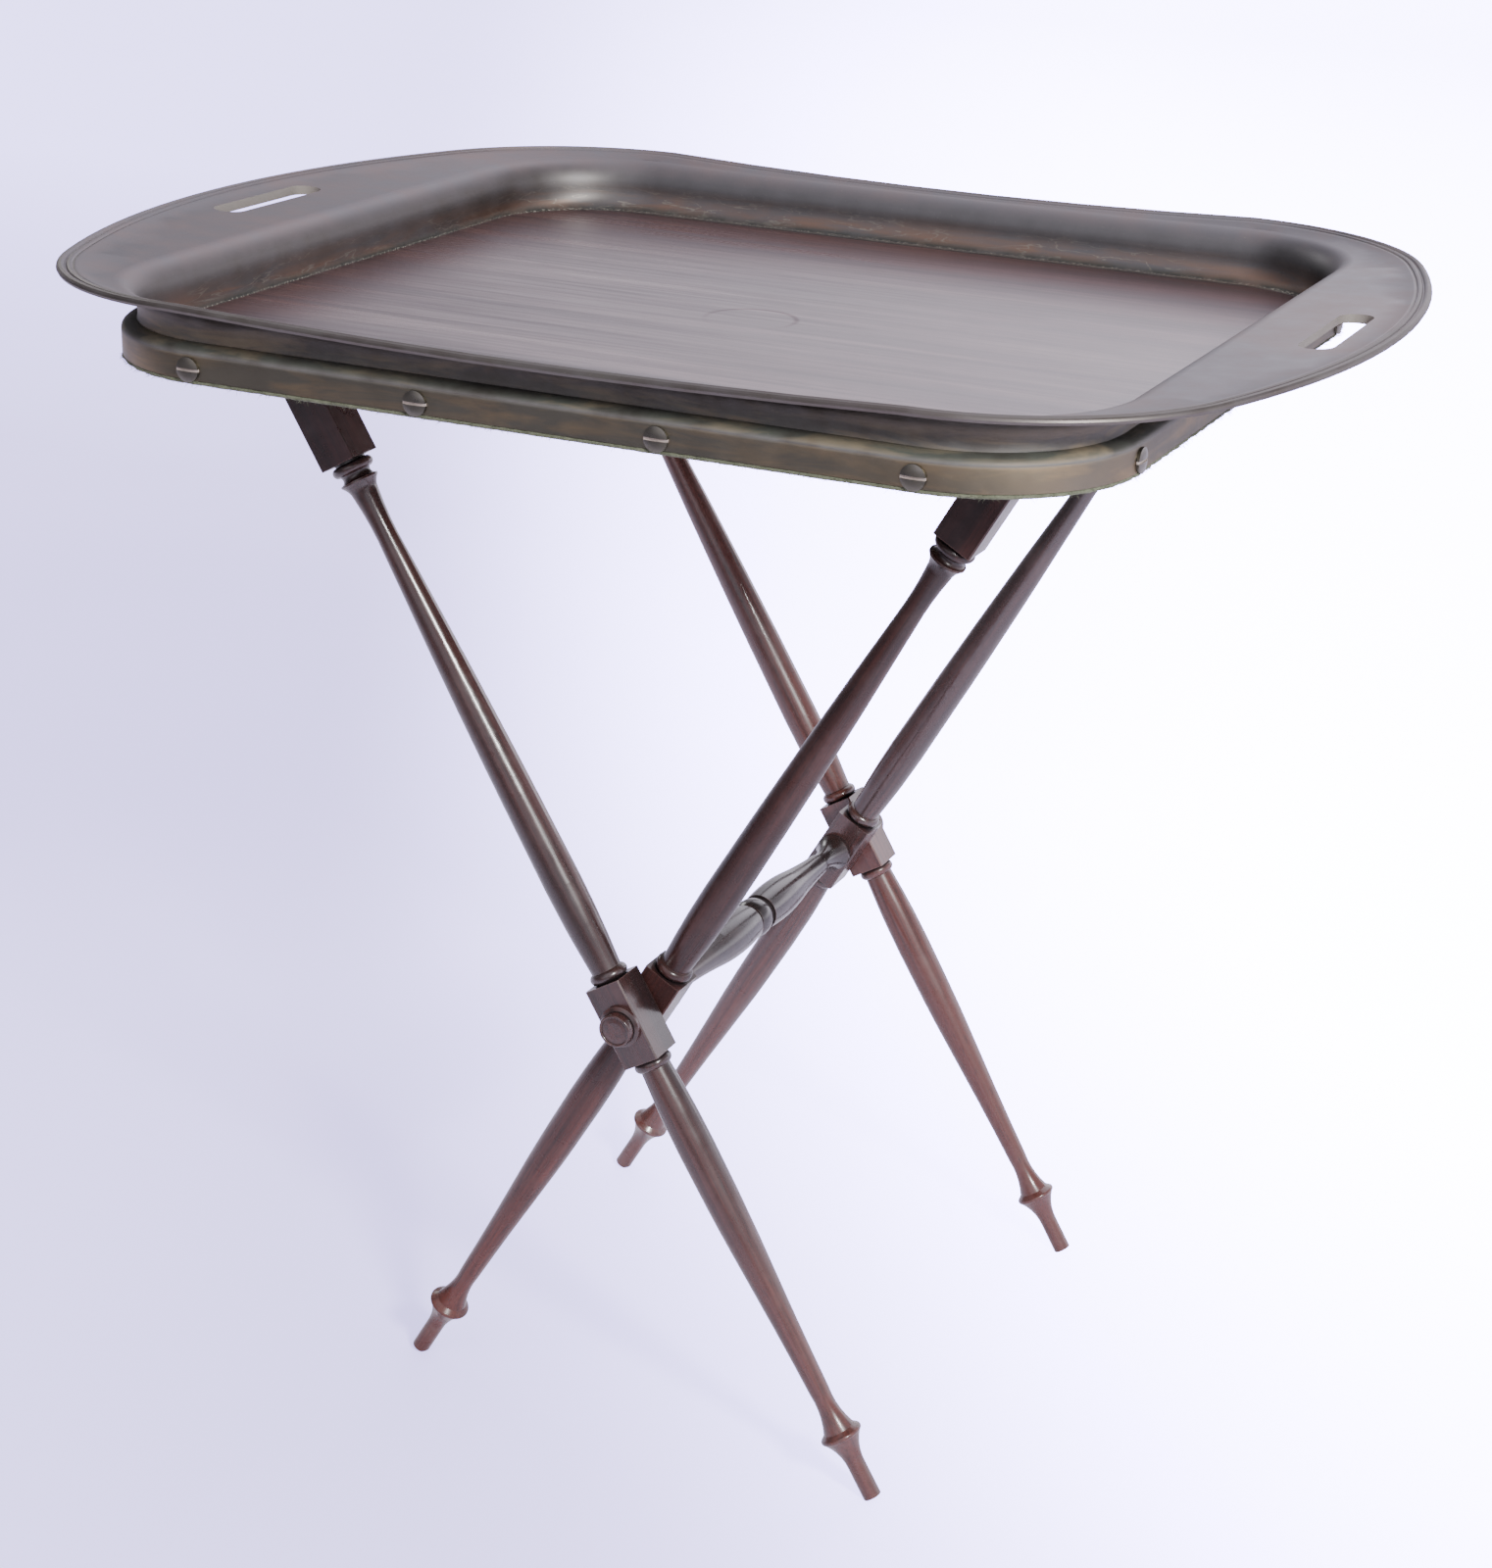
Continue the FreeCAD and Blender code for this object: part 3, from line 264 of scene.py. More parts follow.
class StageLook(bpy.types.PropertyGroup):
    """Camera, light and floor of the studio."""

    camera_place: place_setting("Camera place", "Where the camera stands", (0.7875, -1.6711, 1.1055))
    camera_heading: bpy.props.FloatVectorProperty(
        name="Camera heading", description="Direction in which the camera looks",
        subtype="DIRECTION", size=3, default=(-0.3475, 0.8701, -0.3495),
    )
    camera_roll: angle_setting("Camera roll", "Tilt of the picture about the line of sight", 2.405)
    lens: number_setting("Lens", "Focal length in millimetres on a 36 mm frame", 69.69)
    shift_x: number_setting("Shift across", "Sideways shift of the picture", -0.1163)
    shift_y: number_setting("Shift up", "Upward shift of the picture", -0.0207)
    floor: colour_setting("Floor", "Pale lilac paper under the stand", (0.64, 0.58, 0.98))
    floor_side: colour_setting("Floor's light", "Colour of the light that the paper throws up", (0.82, 0.78, 0.92))
    # Painted shade: the floor in front as bounced and reflected light sees it.
    floor_front: colour_setting("Floor in front", "Dim floor in front of the paper", (0.215, 0.205, 0.22))
    floor_width: length_setting("Floor width", "Width of the paper", 60.0)
    # The glow on the paper is painted light that only the camera sees.
    floor_glow: colour_setting("Floor glow", "Tint of the lamp light on the paper", (0.52, 0.47, 1.0))
    glow_near: number_setting("Glow near", "Strength of that light near the stand, in its shade", 1.2)
    glow_far: number_setting("Glow far", "Strength of that light far behind the stand", 3.2)
    glow_right: number_setting("Glow on the right", "Further strength of that light on the right", 26.0)
    room: colour_setting("Room", "Light of the pale studio", (0.93, 0.89, 1.0))
    room_back: number_setting("Room behind", "Strength of the light behind the tray", 2.4)
    room_top: number_setting("Room above", "Strength of the light above the camera", 1.7)
    room_front: number_setting("Room in front", "Strength of the light level with the camera", 1.2)
    room_left: share_setting("Room on the left", "Share of the light that reaches the left", 0.25)
    room_right: number_setting("Room on the right", "Share of the light that reaches the right", 1.45)
    room_end: share_setting("Room's end", "Share of the light that is left high at the far right", 0.32)
    room_low: number_setting("Room's low end", "Share of the light that is left low at the far right", 1.08)
    room_seen: number_setting("Backdrop", "Strength of the backdrop where the camera sees it", 4.5)
    key_power: number_setting("Key light", "Power of the light at the front right, watts", 145.0)
    key_place: place_setting("Key place", "Where the light at the front right hangs", (2.1, -1.6, 1.95))
    key_width: length_setting("Key width", "Width of the light at the front right", 0.45)
    fill_power: number_setting("Fill light", "Power of the soft light at the back left, watts", 12.0)
    fill_place: place_setting("Fill place", "Where the light at the back left hangs", (-2.45, 1.4, 1.87))
    fill_width: length_setting("Fill width", "Width of the light at the back left", 0.8)


class TrayTableSettings(bpy.types.PropertyGroup):
    """All settings of the tray table."""

    stand: bpy.props.PointerProperty(type=StandFinish, name="Stand", description="Finish of the stand")
    tray: bpy.props.PointerProperty(type=TrayFinish, name="Tray", description="Finish of the tray")
    cloth: bpy.props.PointerProperty(type=ClothFinish, name="Cloth", description="Baize and straps")
    stage: bpy.props.PointerProperty(type=StageLook, name="Stage", description="Camera, light and floor")


class Nodes:
    """Node tree in the making, with short ways to add what the finishes need."""

    def __init__(self, tree):
        self.tree = tree

    def node(self, kind, inputs=None, **settings):
        """New node with its settings made and its inputs set or joined."""
        made = self.tree.nodes.new(kind)
        for name, value in settings.items():
            setattr(made, name, value)
        for key, value in (inputs or {}).items():
            self.give(made.inputs[key], value)
        return made

    def give(self, socket, value):
        """Sets a socket to a value, or joins another socket to it."""
        if isinstance(value, bpy.types.NodeSocket):
            self.tree.links.new(value, socket)
        else:
            socket.default_value = value

    def stretched(self, place, scale, turn=(0, 0, 0)):
        """Place that is turned and then scaled along each direction."""
        inputs = {"Vector": place, "Rotation": turn, "Scale": scale}
        return self.node("ShaderNodeMapping", inputs).outputs["Vector"]

    def noise(self, place, scale, detail=3.0, roughness=0.5, distortion=0.0):
        """Even noise, the same in all directions of the place."""
        inputs = {
            "Vector": place, "Scale": scale, "Detail": detail,
            "Roughness": roughness, "Distortion": distortion,
        }
        return self.node("ShaderNodeTexNoise", inputs).outputs["Fac"]

    def streaks(self, place, scale, turn=(0, 0, 0), **kind):
        """Noise drawn out along the direction of the smallest scale."""
        return self.noise(self.stretched(place, scale, turn), 1.0, **kind)

    def span(self, value, low, high, start=0.0, end=1.0):
        """Value between two limits carried over to two others, and held there outside them."""
        inputs = {"Value": value, "From Min": low, "From Max": high, "To Min": start, "To Max": end}
        return self.node("ShaderNodeMapRange", inputs).outputs["Result"]

    def fade(self, value, low, high):
        """All up to the low limit and nothing from the high one."""
        return self.span(value, low, high, 1.0, 0.0)

    def eased(self, value, low, high):
        """Share from nothing to all that starts and ends gently."""
        inputs = {"Value": value, "From Min": low, "From Max": high}
        return self.node("ShaderNodeMapRange", inputs, interpolation_type="SMOOTHSTEP").outputs["Result"]

    def rest_of(self, share, least=0.0):
        """What a share leaves over, down to the least."""
        return self.span(share, 0.0, 1.0, 1.0, least)

    def reckoned(self, operation, first, second=0.0):
        """Result of one step of arithmetic."""
        return self.node("ShaderNodeMath", {0: first, 1: second}, operation=operation).outputs["Value"]

    def times(self, first, second):
        return self.reckoned("MULTIPLY", first, second)

    def plus(self, first, second):
        return self.reckoned("ADD", first, second)

    def most(self, first, second):
        return self.reckoned("MAXIMUM", first, second)

    def size_of(self, value):
        return self.reckoned("ABSOLUTE", value)

    def summed(self, first, first_share, second, second_share):
        """Sum of two values, each taken by its share."""
        return self.plus(self.times(first, first_share), self.times(second, second_share))

    def agreement(self, first, second):
        """Product of two directions, greater the more they agree."""
        inputs = {0: first, 1: second}
        return self.node("ShaderNodeVectorMath", inputs, operation="DOT_PRODUCT").outputs["Value"]

    def mixed(self, share, low, high):
        """Colour between two others."""
        low = low if isinstance(low, bpy.types.NodeSocket) else (*low, 1)
        high = high if isinstance(high, bpy.types.NodeSocket) else (*high, 1)
        made = self.node("ShaderNodeMix", {0: share, 6: low, 7: high}, data_type="RGBA")
        return made.outputs[2]

    def parts(self, vector):
        """The three numbers of a place or direction."""
        return self.node("ShaderNodeSeparateXYZ", {"Vector": vector}).outputs


class Finish(Nodes):
    """A material in the making: its nodes, its surface and the place of a point on the piece."""

    def __init__(self, name):
        self.material = bpy.data.materials.new(name)
        self.material.use_nodes = True
        super().__init__(self.material.node_tree)
        self.surface = self.tree.nodes["Principled BSDF"]
        self.place = self.node("ShaderNodeTexCoord").outputs["Object"]

    def wear(self, **inputs):
        """Sets or joins the surface's own inputs, their names written with low lines."""
        for name, value in inputs.items():
            self.give(self.surface.inputs[name.replace("_", " ")], value)

    def edges(self, radius):
        """How far a point lies on a sharp edge, from nothing to all."""
        plain = self.node("ShaderNodeNewGeometry").outputs["Normal"]
        rounded = self.node("ShaderNodeBevel", {"Radius": radius}, samples=4).outputs["Normal"]
        return self.span(self.agreement(plain, rounded), 0.99, 0.80)

    def hollows(self, reach):
        """How far a point lies in a hollow, from nothing to all."""
        open_share = self.node(
            "ShaderNodeAmbientOcclusion", {"Distance": reach}, samples=6, only_local=True
        ).outputs["AO"]
        return self.span(open_share, 0.95, 0.45)

    def relief(self, height, strength, distance):
        """Small hollows and ridges of the surface."""
        inputs = {"Strength": strength, "Distance": distance, "Height": height}
        self.wear(Normal=self.node("ShaderNodeBump", inputs).outputs["Normal"])


def dress(names, finish):
    """Gives the finish to CAD pieces."""
    for name in names:
        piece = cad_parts[name]
        if not piece.material_slots:
            piece.data.materials.append(finish.material)
        for place in piece.material_slots:
            place.material = finish.material


def soften(name, limit):
    """Shades a CAD piece smooth across edges that turn less than the limit; its mesh stays as it is."""
    tree = bpy.data.node_groups.new("soft_shading", "GeometryNodeTree")
    tree.interface.new_socket("Geometry", in_out="INPUT", socket_type="NodeSocketGeometry")
    tree.interface.new_socket("Geometry", in_out="OUTPUT", socket_type="NodeSocketGeometry")
    steps = Nodes(tree)
    shape = steps.node("NodeGroupInput").outputs[0]
    shape = steps.node("GeometryNodeMergeByDistance", {"Geometry": shape, "Distance": 0.00002}).outputs[0]
    inputs = {"Geometry": shape, "Name": "custom_normal"}
    shape = steps.node("GeometryNodeRemoveAttribute", inputs).outputs[0]
    for domain in ("FACE", "EDGE"):
        shape = steps.node("GeometryNodeSetShadeSmooth", {"Geometry": shape}, domain=domain).outputs[0]
    turn = steps.node("GeometryNodeInputMeshEdgeAngle").outputs["Unsigned Angle"]
    sharp = steps.node("FunctionNodeCompare", {0: turn, 1: limit}, operation="GREATER_THAN").outputs[0]
    inputs = {"Geometry": shape, "Selection": sharp, "Shade Smooth": False}
    shape = steps.node("GeometryNodeSetShadeSmooth", inputs, domain="EDGE").outputs[0]
    steps.node("NodeGroupOutput", {0: shape})
    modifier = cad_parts[name].modifiers.new("soft_shading", "NODES")
    modifier.node_group = tree


def stand_wood(name, settings, turn, warmth, kept=1.0):
    """Dark polished wood whose grain runs along Z once the piece is turned so, redder low down."""
    finish = Finish(name)
    grain = finish.stretched(finish.place, (1, 1, 1), turn)
    broad = finish.streaks(grain, (26, 26, 2.2), detail=3.0, roughness=0.55, distortion=0.4)
    streak = finish.streaks(grain, (330, 330, 7), detail=5.0, roughness=0.6, distortion=0.3)
    pore = finish.streaks(grain, (1500, 1500, 55), detail=2.0, roughness=0.5)
    rubbed = finish.noise(finish.place, 34.0, detail=5.0, roughness=0.62)
    height = finish.parts(finish.place)[2]

    redder = finish.span(height, *SHINS, warmth + 0.55, warmth - 0.25)
    tone = finish.plus(finish.span(broad, 0.3, 0.7, 0.0, 0.75), redder)
    tone = finish.times(tone, finish.span(streak, 0.28, 0.66, 0.35, 1.25))
    colour = finish.mixed(tone, settings.dark, settings.red)

    wear = finish.times(finish.span(rubbed, 0.52, 0.74), finish.span(height, *FEET, 0.75, 0.12))
    # Sharp edges take the paler worn colour: partly edge wear, partly a painted highlight on their rounding.
    edge = finish.times(finish.edges(radius=0.0012), finish.span(rubbed, 0.35, 0.6, 0.25, 0.9))
    colour = finish.mixed(finish.most(wear, edge), colour, settings.worn)
    pores = finish.span(pore, 0.58, 0.68)
    # Pores darken the wood with the dark colour, and hollows do too: painted shade from their occlusion.
    pores_and_hollow_shade = finish.most(finish.times(pores, 0.6), finish.hollows(reach=0.004))
    colour = finish.mixed(pores_and_hollow_shade, colour, settings.dark)

    gloss = finish.plus(finish.span(rubbed, 0.3, 0.75, 0.20, 0.38), finish.times(pores_and_hollow_shade, 0.12))
    finish.wear(
        Base_Color=colour, Roughness=gloss, Specular_IOR_Level=0.42 * kept,
        Coat_Weight=settings.polish * kept, Coat_Roughness=0.12, Coat_IOR=1.5,
    )
    finish.relief(finish.summed(streak, 0.5, pores, -0.6), strength=0.07, distance=0.0003)
    return finish


def washer_metal(settings):
    """Dull brass of the washers, turned and tarnished."""
    finish = Finish("washer_brass")
    tarnish = finish.noise(finish.place, 160.0, detail=4.0, roughness=0.6)
    colour = finish.mixed(finish.span(tarnish, 0.35, 0.7), settings.washer, settings.dark)
    finish.wear(Base_Color=colour, Metallic=1.0, Roughness=finish.span(tarnish, 0.3, 0.7, 0.3, 0.55))
    finish.relief(tarnish, strength=0.1, distance=0.0002)
    return finish


def tray_metal(settings):
    """Patinated copper of the gallery: grey flange, dark cove and neck, olive band with gold patches."""
    finish = Finish("tray_metal")
    place = finish.place
    spots = finish.parts(place)
    height = spots[2]
    across = finish.size_of(spots[0])
    deep = finish.size_of(spots[1])
    surface = finish.node("ShaderNodeNewGeometry").outputs
    bend = surface["Pointiness"]
    upward = finish.parts(surface["Normal"])[2]
    patches = finish.noise(place, 7.0, detail=4.0, roughness=0.55, distortion=0.6)
    mottle = finish.noise(place, 46.0, detail=5.0, roughness=0.6)
    speck = finish.noise(place, 620.0, detail=2.0, roughness=0.6)
    along = finish.streaks(place, (13, 13, 90), detail=4.0, roughness=0.6, distortion=0.5)
    scrape = finish.streaks(place, (26, 26, 150), (0.5, 0.35, 0), detail=3.0, roughness=0.5, distortion=0.3)
    brushed = finish.streaks(place, (14, 520, 520), detail=3.0, roughness=0.6)

    # Regions of the metal
    flat = finish.node("ShaderNodeVectorMath", {0: place, 1: (1, 1, 0)}, operation="MULTIPLY")
    outward = finish.agreement(surface["Normal"], flat.outputs["Vector"])
    inside = finish.span(outward, -0.03, -0.09)
    outside = finish.span(outward, -0.02, 0.04)
    open_side = finish.rest_of(inside)
    flange = finish.span(height, *FLANGE_START)
    band = finish.times(outside, finish.fade(height, *BAND_TOP))
    shoulder = finish.times(finish.span(height, *SHOULDER_START), finish.fade(height, *SHOULDER_END))
    shoulder = finish.times(open_side, shoulder)
    neck = finish.times(outside, finish.span(height, *NECK_START))
    ledge = finish.times(open_side, finish.fade(height, *LEDGE_END))
    low = finish.times(inside, finish.fade(height, *COVE_LOW))
    foot = finish.times(inside, finish.fade(height, *COVE_FOOT))
    joint = finish.times(inside, finish.fade(height, *COVE_JOINT))
    corner = finish.times(finish.span(across, *CORNERS_ACROSS), finish.span(deep, *CORNERS_DEEP))
    corner = finish.times(corner, finish.span(spots[0], *HANDLED_CORNERS, 0.3, 1.0))
    by_slot = finish.times(finish.span(across, *HAND_SLOT_INNER), finish.fade(across, *HAND_SLOT_OUTER))
    by_slot = finish.times(by_slot, finish.fade(deep, *HAND_SLOT_END))
    upright = finish.span(finish.size_of(upward), 0.5, 0.3)
    slot_wall = finish.times(finish.times(upright, by_slot), 0.75)

    # Patina of the cove, neck and flange, with painted shade darkening the cove towards its left end
    left_cove_shade_fades = finish.span(spots[0], *LEFT_COVE_SHADE, 0.2, 1.0)
    dark = finish.mixed(finish.times(inside, left_cove_shade_fades), settings.bronze, settings.cove)
    dark = finish.mixed(finish.span(mottle, 0.3, 0.7, 0.0, 0.4), dark, settings.grey)
    blotch = finish.summed(patches, 0.55, mottle, 0.45)
    pale = finish.mixed(finish.span(blotch, 0.42, 0.64, 0.0, 0.85), settings.grey, settings.pink)
    colour = finish.mixed(finish.times(flange, finish.rest_of(outside, 0.1)), dark, pale)
    crest = finish.times(finish.span(bend, 0.53, 0.60), finish.span(mottle, 0.35, 0.6, 0.3, 0.9))
    colour = finish.mixed(finish.times(crest, 0.4), colour, settings.pink)
    streaked = finish.times(low, finish.span(along, 0.40, 0.62, 0.05, 0.85))
    colour = finish.mixed(streaked, colour, settings.brown)

    # Rubbed band, scrapes in the cove, darkening in the grooves and along the cove's foot, slot walls, dust on
    # shoulder and neck with painted shade where it faces up, gold streaks with painted light low on the neck, and
    # settled powder
    handled = finish.times(corner, finish.span(patches, 0.35, 0.65, 0.0, 0.9))
    rub = finish.plus(finish.span(along, 0.46, 0.74, 0.0, 0.7), handled)
    colour = finish.mixed(band, colour, finish.mixed(rub, settings.olive, settings.gold))
    line = finish.size_of(finish.plus(scrape, -0.5))
    scratch = finish.times(finish.fade(line, 0.004, 0.014), finish.span(patches, 0.42, 0.52))
    scratch = finish.times(scratch, finish.times(low, 0.7))
    colour = finish.mixed(scratch, colour, settings.dust)
    # Darker in the concave grooves and in a band along the cove's foot.
    groove = finish.times(finish.span(bend, 0.47, 0.40), finish.span(mottle, 0.3, 0.6, 0.55, 0.95))
    groove = finish.times(groove, finish.rest_of(ledge))
    groove_and_foot_darkening = finish.most(groove, finish.times(foot, finish.span(mottle, 0.3, 0.55, 0.45, 0.95)))
    colour = finish.mixed(groove_and_foot_darkening, colour, settings.groove_and_foot_dark)
    colour = finish.mixed(slot_wall, colour, settings.dust)
    streaky = finish.times(neck, finish.span(along, 0.42, 0.7, 0.0, 0.35))
    bloom = finish.plus(finish.times(shoulder, finish.span(mottle, 0.36, 0.62, 0.55, 0.95)), streaky)
    # Where the dust faces up it takes the darker green-grey: painted shade on the shoulder's top.
    facing_up_shade = finish.span(upward, 0.25, 0.75)
    colour = finish.mixed(bloom, colour, finish.mixed(facing_up_shade, settings.verdigris, settings.shaded_top_dust))
    # Gold streaks low on the neck fade upwards: partly streaks of the metal, partly painted light that makes the
    # neck paler towards the shoulder.
    neck_gold_and_light = finish.times(neck, finish.fade(height, *NECK_GOLD_AND_LIGHT_END))
    neck_gold_and_light = finish.times(neck_gold_and_light, finish.span(along, 0.46, 0.64, 0.0, 0.38))
    colour = finish.mixed(neck_gold_and_light, colour, settings.gold)
    flecks = finish.times(joint, finish.span(speck, 0.50, 0.64))
    settled = finish.times(finish.span(speck, 0.70, 0.76), 0.3)
    powder = finish.most(flecks, settled)
    colour = finish.mixed(powder, colour, settings.dust)

    dull = finish.most(finish.most(finish.most(groove_and_foot_darkening, powder), bloom), slot_wall)
    gloss = finish.plus(finish.span(mottle, 0.3, 0.7, 0.36, 0.44), finish.times(dull, 0.25))
    gloss = finish.plus(gloss, finish.times(inside, 0.09))
    finish.wear(
        Base_Color=colour, Metallic=finish.rest_of(dull, 0.15), Roughness=gloss,
        Specular_Tint=(0.70, 0.69, 0.70, 1),
    )
    finish.relief(finish.summed(mottle, 0.5, brushed, 0.1), strength=0.15, distance=0.0005)
    return finish


def board_wood(settings):
    """Dark floor of the tray, grain along its length, worn polish and an old ring mark."""
    finish = Finish("board_wood")
    place = finish.place
    spots = finish.parts(place)
    broad = finish.streaks(place, (2.2, 30, 30), detail=4.0, roughness=0.55, distortion=0.6)
    streak = finish.streaks(place, (7, 260, 260), detail=5.0, roughness=0.62, distortion=0.2)
    pore = finish.streaks(place, (55, 1300, 1300), detail=2.0, roughness=0.5)
    rubbed = finish.noise(place, 14.0, detail=5.0, roughness=0.6)
    speck = finish.noise(place, 520.0, detail=2.0, roughness=0.6)

    tone = finish.times(finish.span(broad, 0.3, 0.7, 0.1, 1.0), finish.span(streak, 0.3, 0.68, 0.2, 1.25))
    colour = finish.mixed(tone, settings.floor_dark, settings.floor_red)
    pores = finish.span(pore, 0.57, 0.68)
    colour = finish.mixed(finish.times(pores, 0.7), colour, settings.floor_dark)
    farther = finish.span(spots[1], *DUSTY_SIDE, 0.0, 0.5)
    dusty = finish.plus(finish.span(rubbed, 0.4, 0.6, 0.05, 0.4), farther)
    dusty = finish.times(finish.span(speck, 0.68, 0.76), dusty)
    colour = finish.mixed(dusty, colour, settings.dust)

    across = finish.plus(spots[0], -settings.ring_place[0])
    deep = finish.plus(spots[1], -settings.ring_place[1])
    reach = finish.reckoned("SQRT", finish.plus(finish.times(across, across), finish.times(deep, deep)))
    away = finish.size_of(finish.plus(reach, -settings.ring_radius))
    ring = finish.times(finish.fade(away, *RING_EDGE), finish.span(deep, *RING_ARC, 0.15, 1.0))

    fine = finish.span(streak, 0.34, 0.62, -0.25, 0.25)
    grain = finish.plus(fine, finish.span(broad, 0.3, 0.7, -0.18, 0.18))
    grain = finish.times(grain, finish.span(spots[0], *STREAKY_END, 1.6, 0.4))
    gloss = finish.plus(finish.span(grain, -0.6, 0.6, 0.38, 0.22), finish.times(rubbed, 0.05))
    pits = finish.most(finish.times(pores, 0.5), finish.span(speck, 0.34, 0.28, 0.0, 0.8))
    polish = finish.times(finish.span(grain, -0.6, 0.6, 0.12, 0.34), finish.rest_of(pits, 0.2))
    polish = finish.times(polish, finish.rest_of(ring, 0.45))
    # The lilac specular tint is a painted reflection colour, standing for the lilac room that the sheen reflects.
    finish.wear(
        Base_Color=colour, Roughness=finish.plus(gloss, finish.times(ring, 0.12)),
        Coat_Weight=polish, Coat_Roughness=0.2, Coat_IOR=1.6,
        Specular_IOR_Level=0.32, Specular_Tint=(1.0, 0.70, 1.0, 1),
    )
    hollows = finish.summed(streak, 0.5, pores, -0.7)
    finish.relief(finish.plus(hollows, finish.times(broad, 0.3)), strength=0.06, distance=0.0004)
    return finish


def screw_metal(settings):
    """Patinated screws whose slots are painted pale, a painted highlight for the light the slots catch."""
    finish = Finish("screw_metal")
    height = finish.parts(finish.place)[2]
    tarnish = finish.noise(finish.place, 210.0, detail=4.0, roughness=0.6)
    colour = finish.mixed(finish.span(tarnish, 0.35, 0.65), settings.screw, settings.olive)
    # The slot is painted pale: a painted highlight for the light its lower wall catches.
    away = finish.size_of(finish.plus(height, -settings.slot_height))
    slot = finish.fade(away, *SCREW_SLOT_EDGE)
    painted_slot_highlight = finish.times(slot, finish.span(tarnish, 0.3, 0.6, 0.95, 0.6))
    colour = finish.mixed(painted_slot_highlight, colour, settings.slot)
    finish.wear(
        Base_Color=colour, Metallic=finish.rest_of(slot, 0.3),
        Roughness=finish.plus(finish.span(tarnish, 0.3, 0.7, 0.24, 0.40), finish.times(slot, 0.2)),
    )
    finish.relief(tarnish, strength=0.12, distance=0.0002)
    return finish


def baize_cloth(name, settings):
    """Felted woollen cloth, worn and dusty."""
    finish = Finish(name)
    fibre = finish.noise(finish.place, 1500.0, detail=3.0, roughness=0.7, distortion=1.2)
    felt = finish.noise(finish.place, 190.0, detail=5.0, roughness=0.65)
    tone = finish.summed(fibre, 0.7, felt, 0.5)
    colour = finish.mixed(finish.span(tone, 0.45, 0.75), settings.baize_dark, settings.baize_pale)
    finish.wear(
        Base_Color=colour, Roughness=0.95, Specular_IOR_Level=0.2, Sheen_Weight=0.1, Sheen_Roughness=0.5,
    )
    finish.relief(tone, strength=0.6, distance=0.0006)
    return finish


def strap_webbing(settings):
    """Twilled webbing with a darker stripe near each edge."""
    finish = Finish("strap_webbing")
    spots = finish.parts(finish.place)
    weft = finish.reckoned("SINE", finish.times(spots[0], 3600.0))
    warp = finish.reckoned("SINE", finish.times(spots[1], 4200.0))
    twill = finish.reckoned("SINE", finish.summed(spots[0], 1500.0, spots[1], 1500.0))
    weave = finish.summed(finish.times(weft, warp), 0.5, twill, 0.3)
    middle = finish.size_of(finish.plus(finish.size_of(spots[1]), -STRAP_MIDDLE))
    stripe = finish.fade(finish.size_of(finish.plus(middle, -STRIPE_PLACE)), *STRIPE_EDGE)
    soil = finish.noise(finish.place, 45.0, detail=5.0, roughness=0.6)
    colour = finish.mixed(stripe, settings.strap_ground, settings.strap_stripe)
    shade = finish.times(finish.span(weave, -0.8, 0.8, 0.0, 0.5), finish.span(soil, 0.25, 0.75, 0.5, 1.0))
    colour = finish.mixed(shade, colour, settings.strap_stripe)
    finish.wear(
        Base_Color=colour, Roughness=0.9, Specular_IOR_Level=0.25, Sheen_Weight=0.2, Sheen_Roughness=0.5,
    )
    finish.relief(weave, strength=0.5, distance=0.0004)
    return finish


def tack_metal(settings):
    """Blackened iron of the strap tacks."""
    finish = Finish("tack_iron")
    rust = finish.noise(finish.place, 420.0, detail=4.0, roughness=0.6)
    colour = finish.mixed(finish.span(rust, 0.4, 0.7), settings.strap_stripe, settings.strap_ground)
    finish.wear(Base_Color=colour, Metallic=0.8, Roughness=finish.span(rust, 0.3, 0.7, 0.35, 0.6))
    return finish


def new_piece(name, mesh_maker, finish):
    """Object with a smooth mesh built by bmesh."""
    build = bmesh.new()
    mesh_maker(build)
    bmesh.ops.recalc_face_normals(build, faces=build.faces)
    mesh = bpy.data.meshes.new(name)
    build.to_mesh(mesh)
    build.free()
    mesh.polygons.foreach_set("use_smooth", [True] * len(mesh.polygons))
    mesh.materials.append(finish.material)
    piece = bpy.data.objects.new(name, mesh)
    bpy.context.scene.collection.objects.link(piece)
    return piece


def rounded_outline(half_x, half_y, radius, step):
    """Points and outward directions round a rectangle with round corners."""
    points = []
    straight_x = half_x - radius
    straight_y = half_y - radius
    corners = [
        (straight_x, straight_y), (-straight_x, straight_y), (-straight_x, -straight_y), (straight_x, -straight_y),
    ]
    runs = [2 * straight_x, 2 * straight_y] * 2
    for quarter, (x, y) in enumerate(corners):
        turns = math.ceil(radius * math.pi / 2 / step)
        for turn in range(turns):
            angle = (quarter + turn / turns) * math.pi / 2
            out = Vector((math.cos(angle), math.sin(angle), 0))
            points.append((Vector((x, y, 0)) + out * radius, out))
        angle = (quarter + 1) * math.pi / 2
        out = Vector((math.cos(angle), math.sin(angle), 0))
        onward = Vector((-out.y, out.x, 0))
        steps = math.ceil(runs[quarter] / step)
        start = Vector((x, y, 0)) + out * radius
        points += [(start + onward * (runs[quarter] * number / steps), out) for number in range(steps)]
    return points


def close_rows(build, rows):
    """Faces between successive closed rows of vertices, and one over each end."""
    for row, following in zip(rows, rows[1:]):
        for number in range(len(row)):
            after = (number + 1) % len(row)
            build.faces.new((row[number], row[after], following[after], following[number]))
    build.faces.new(rows[0][::-1])
    build.faces.new(rows[-1])


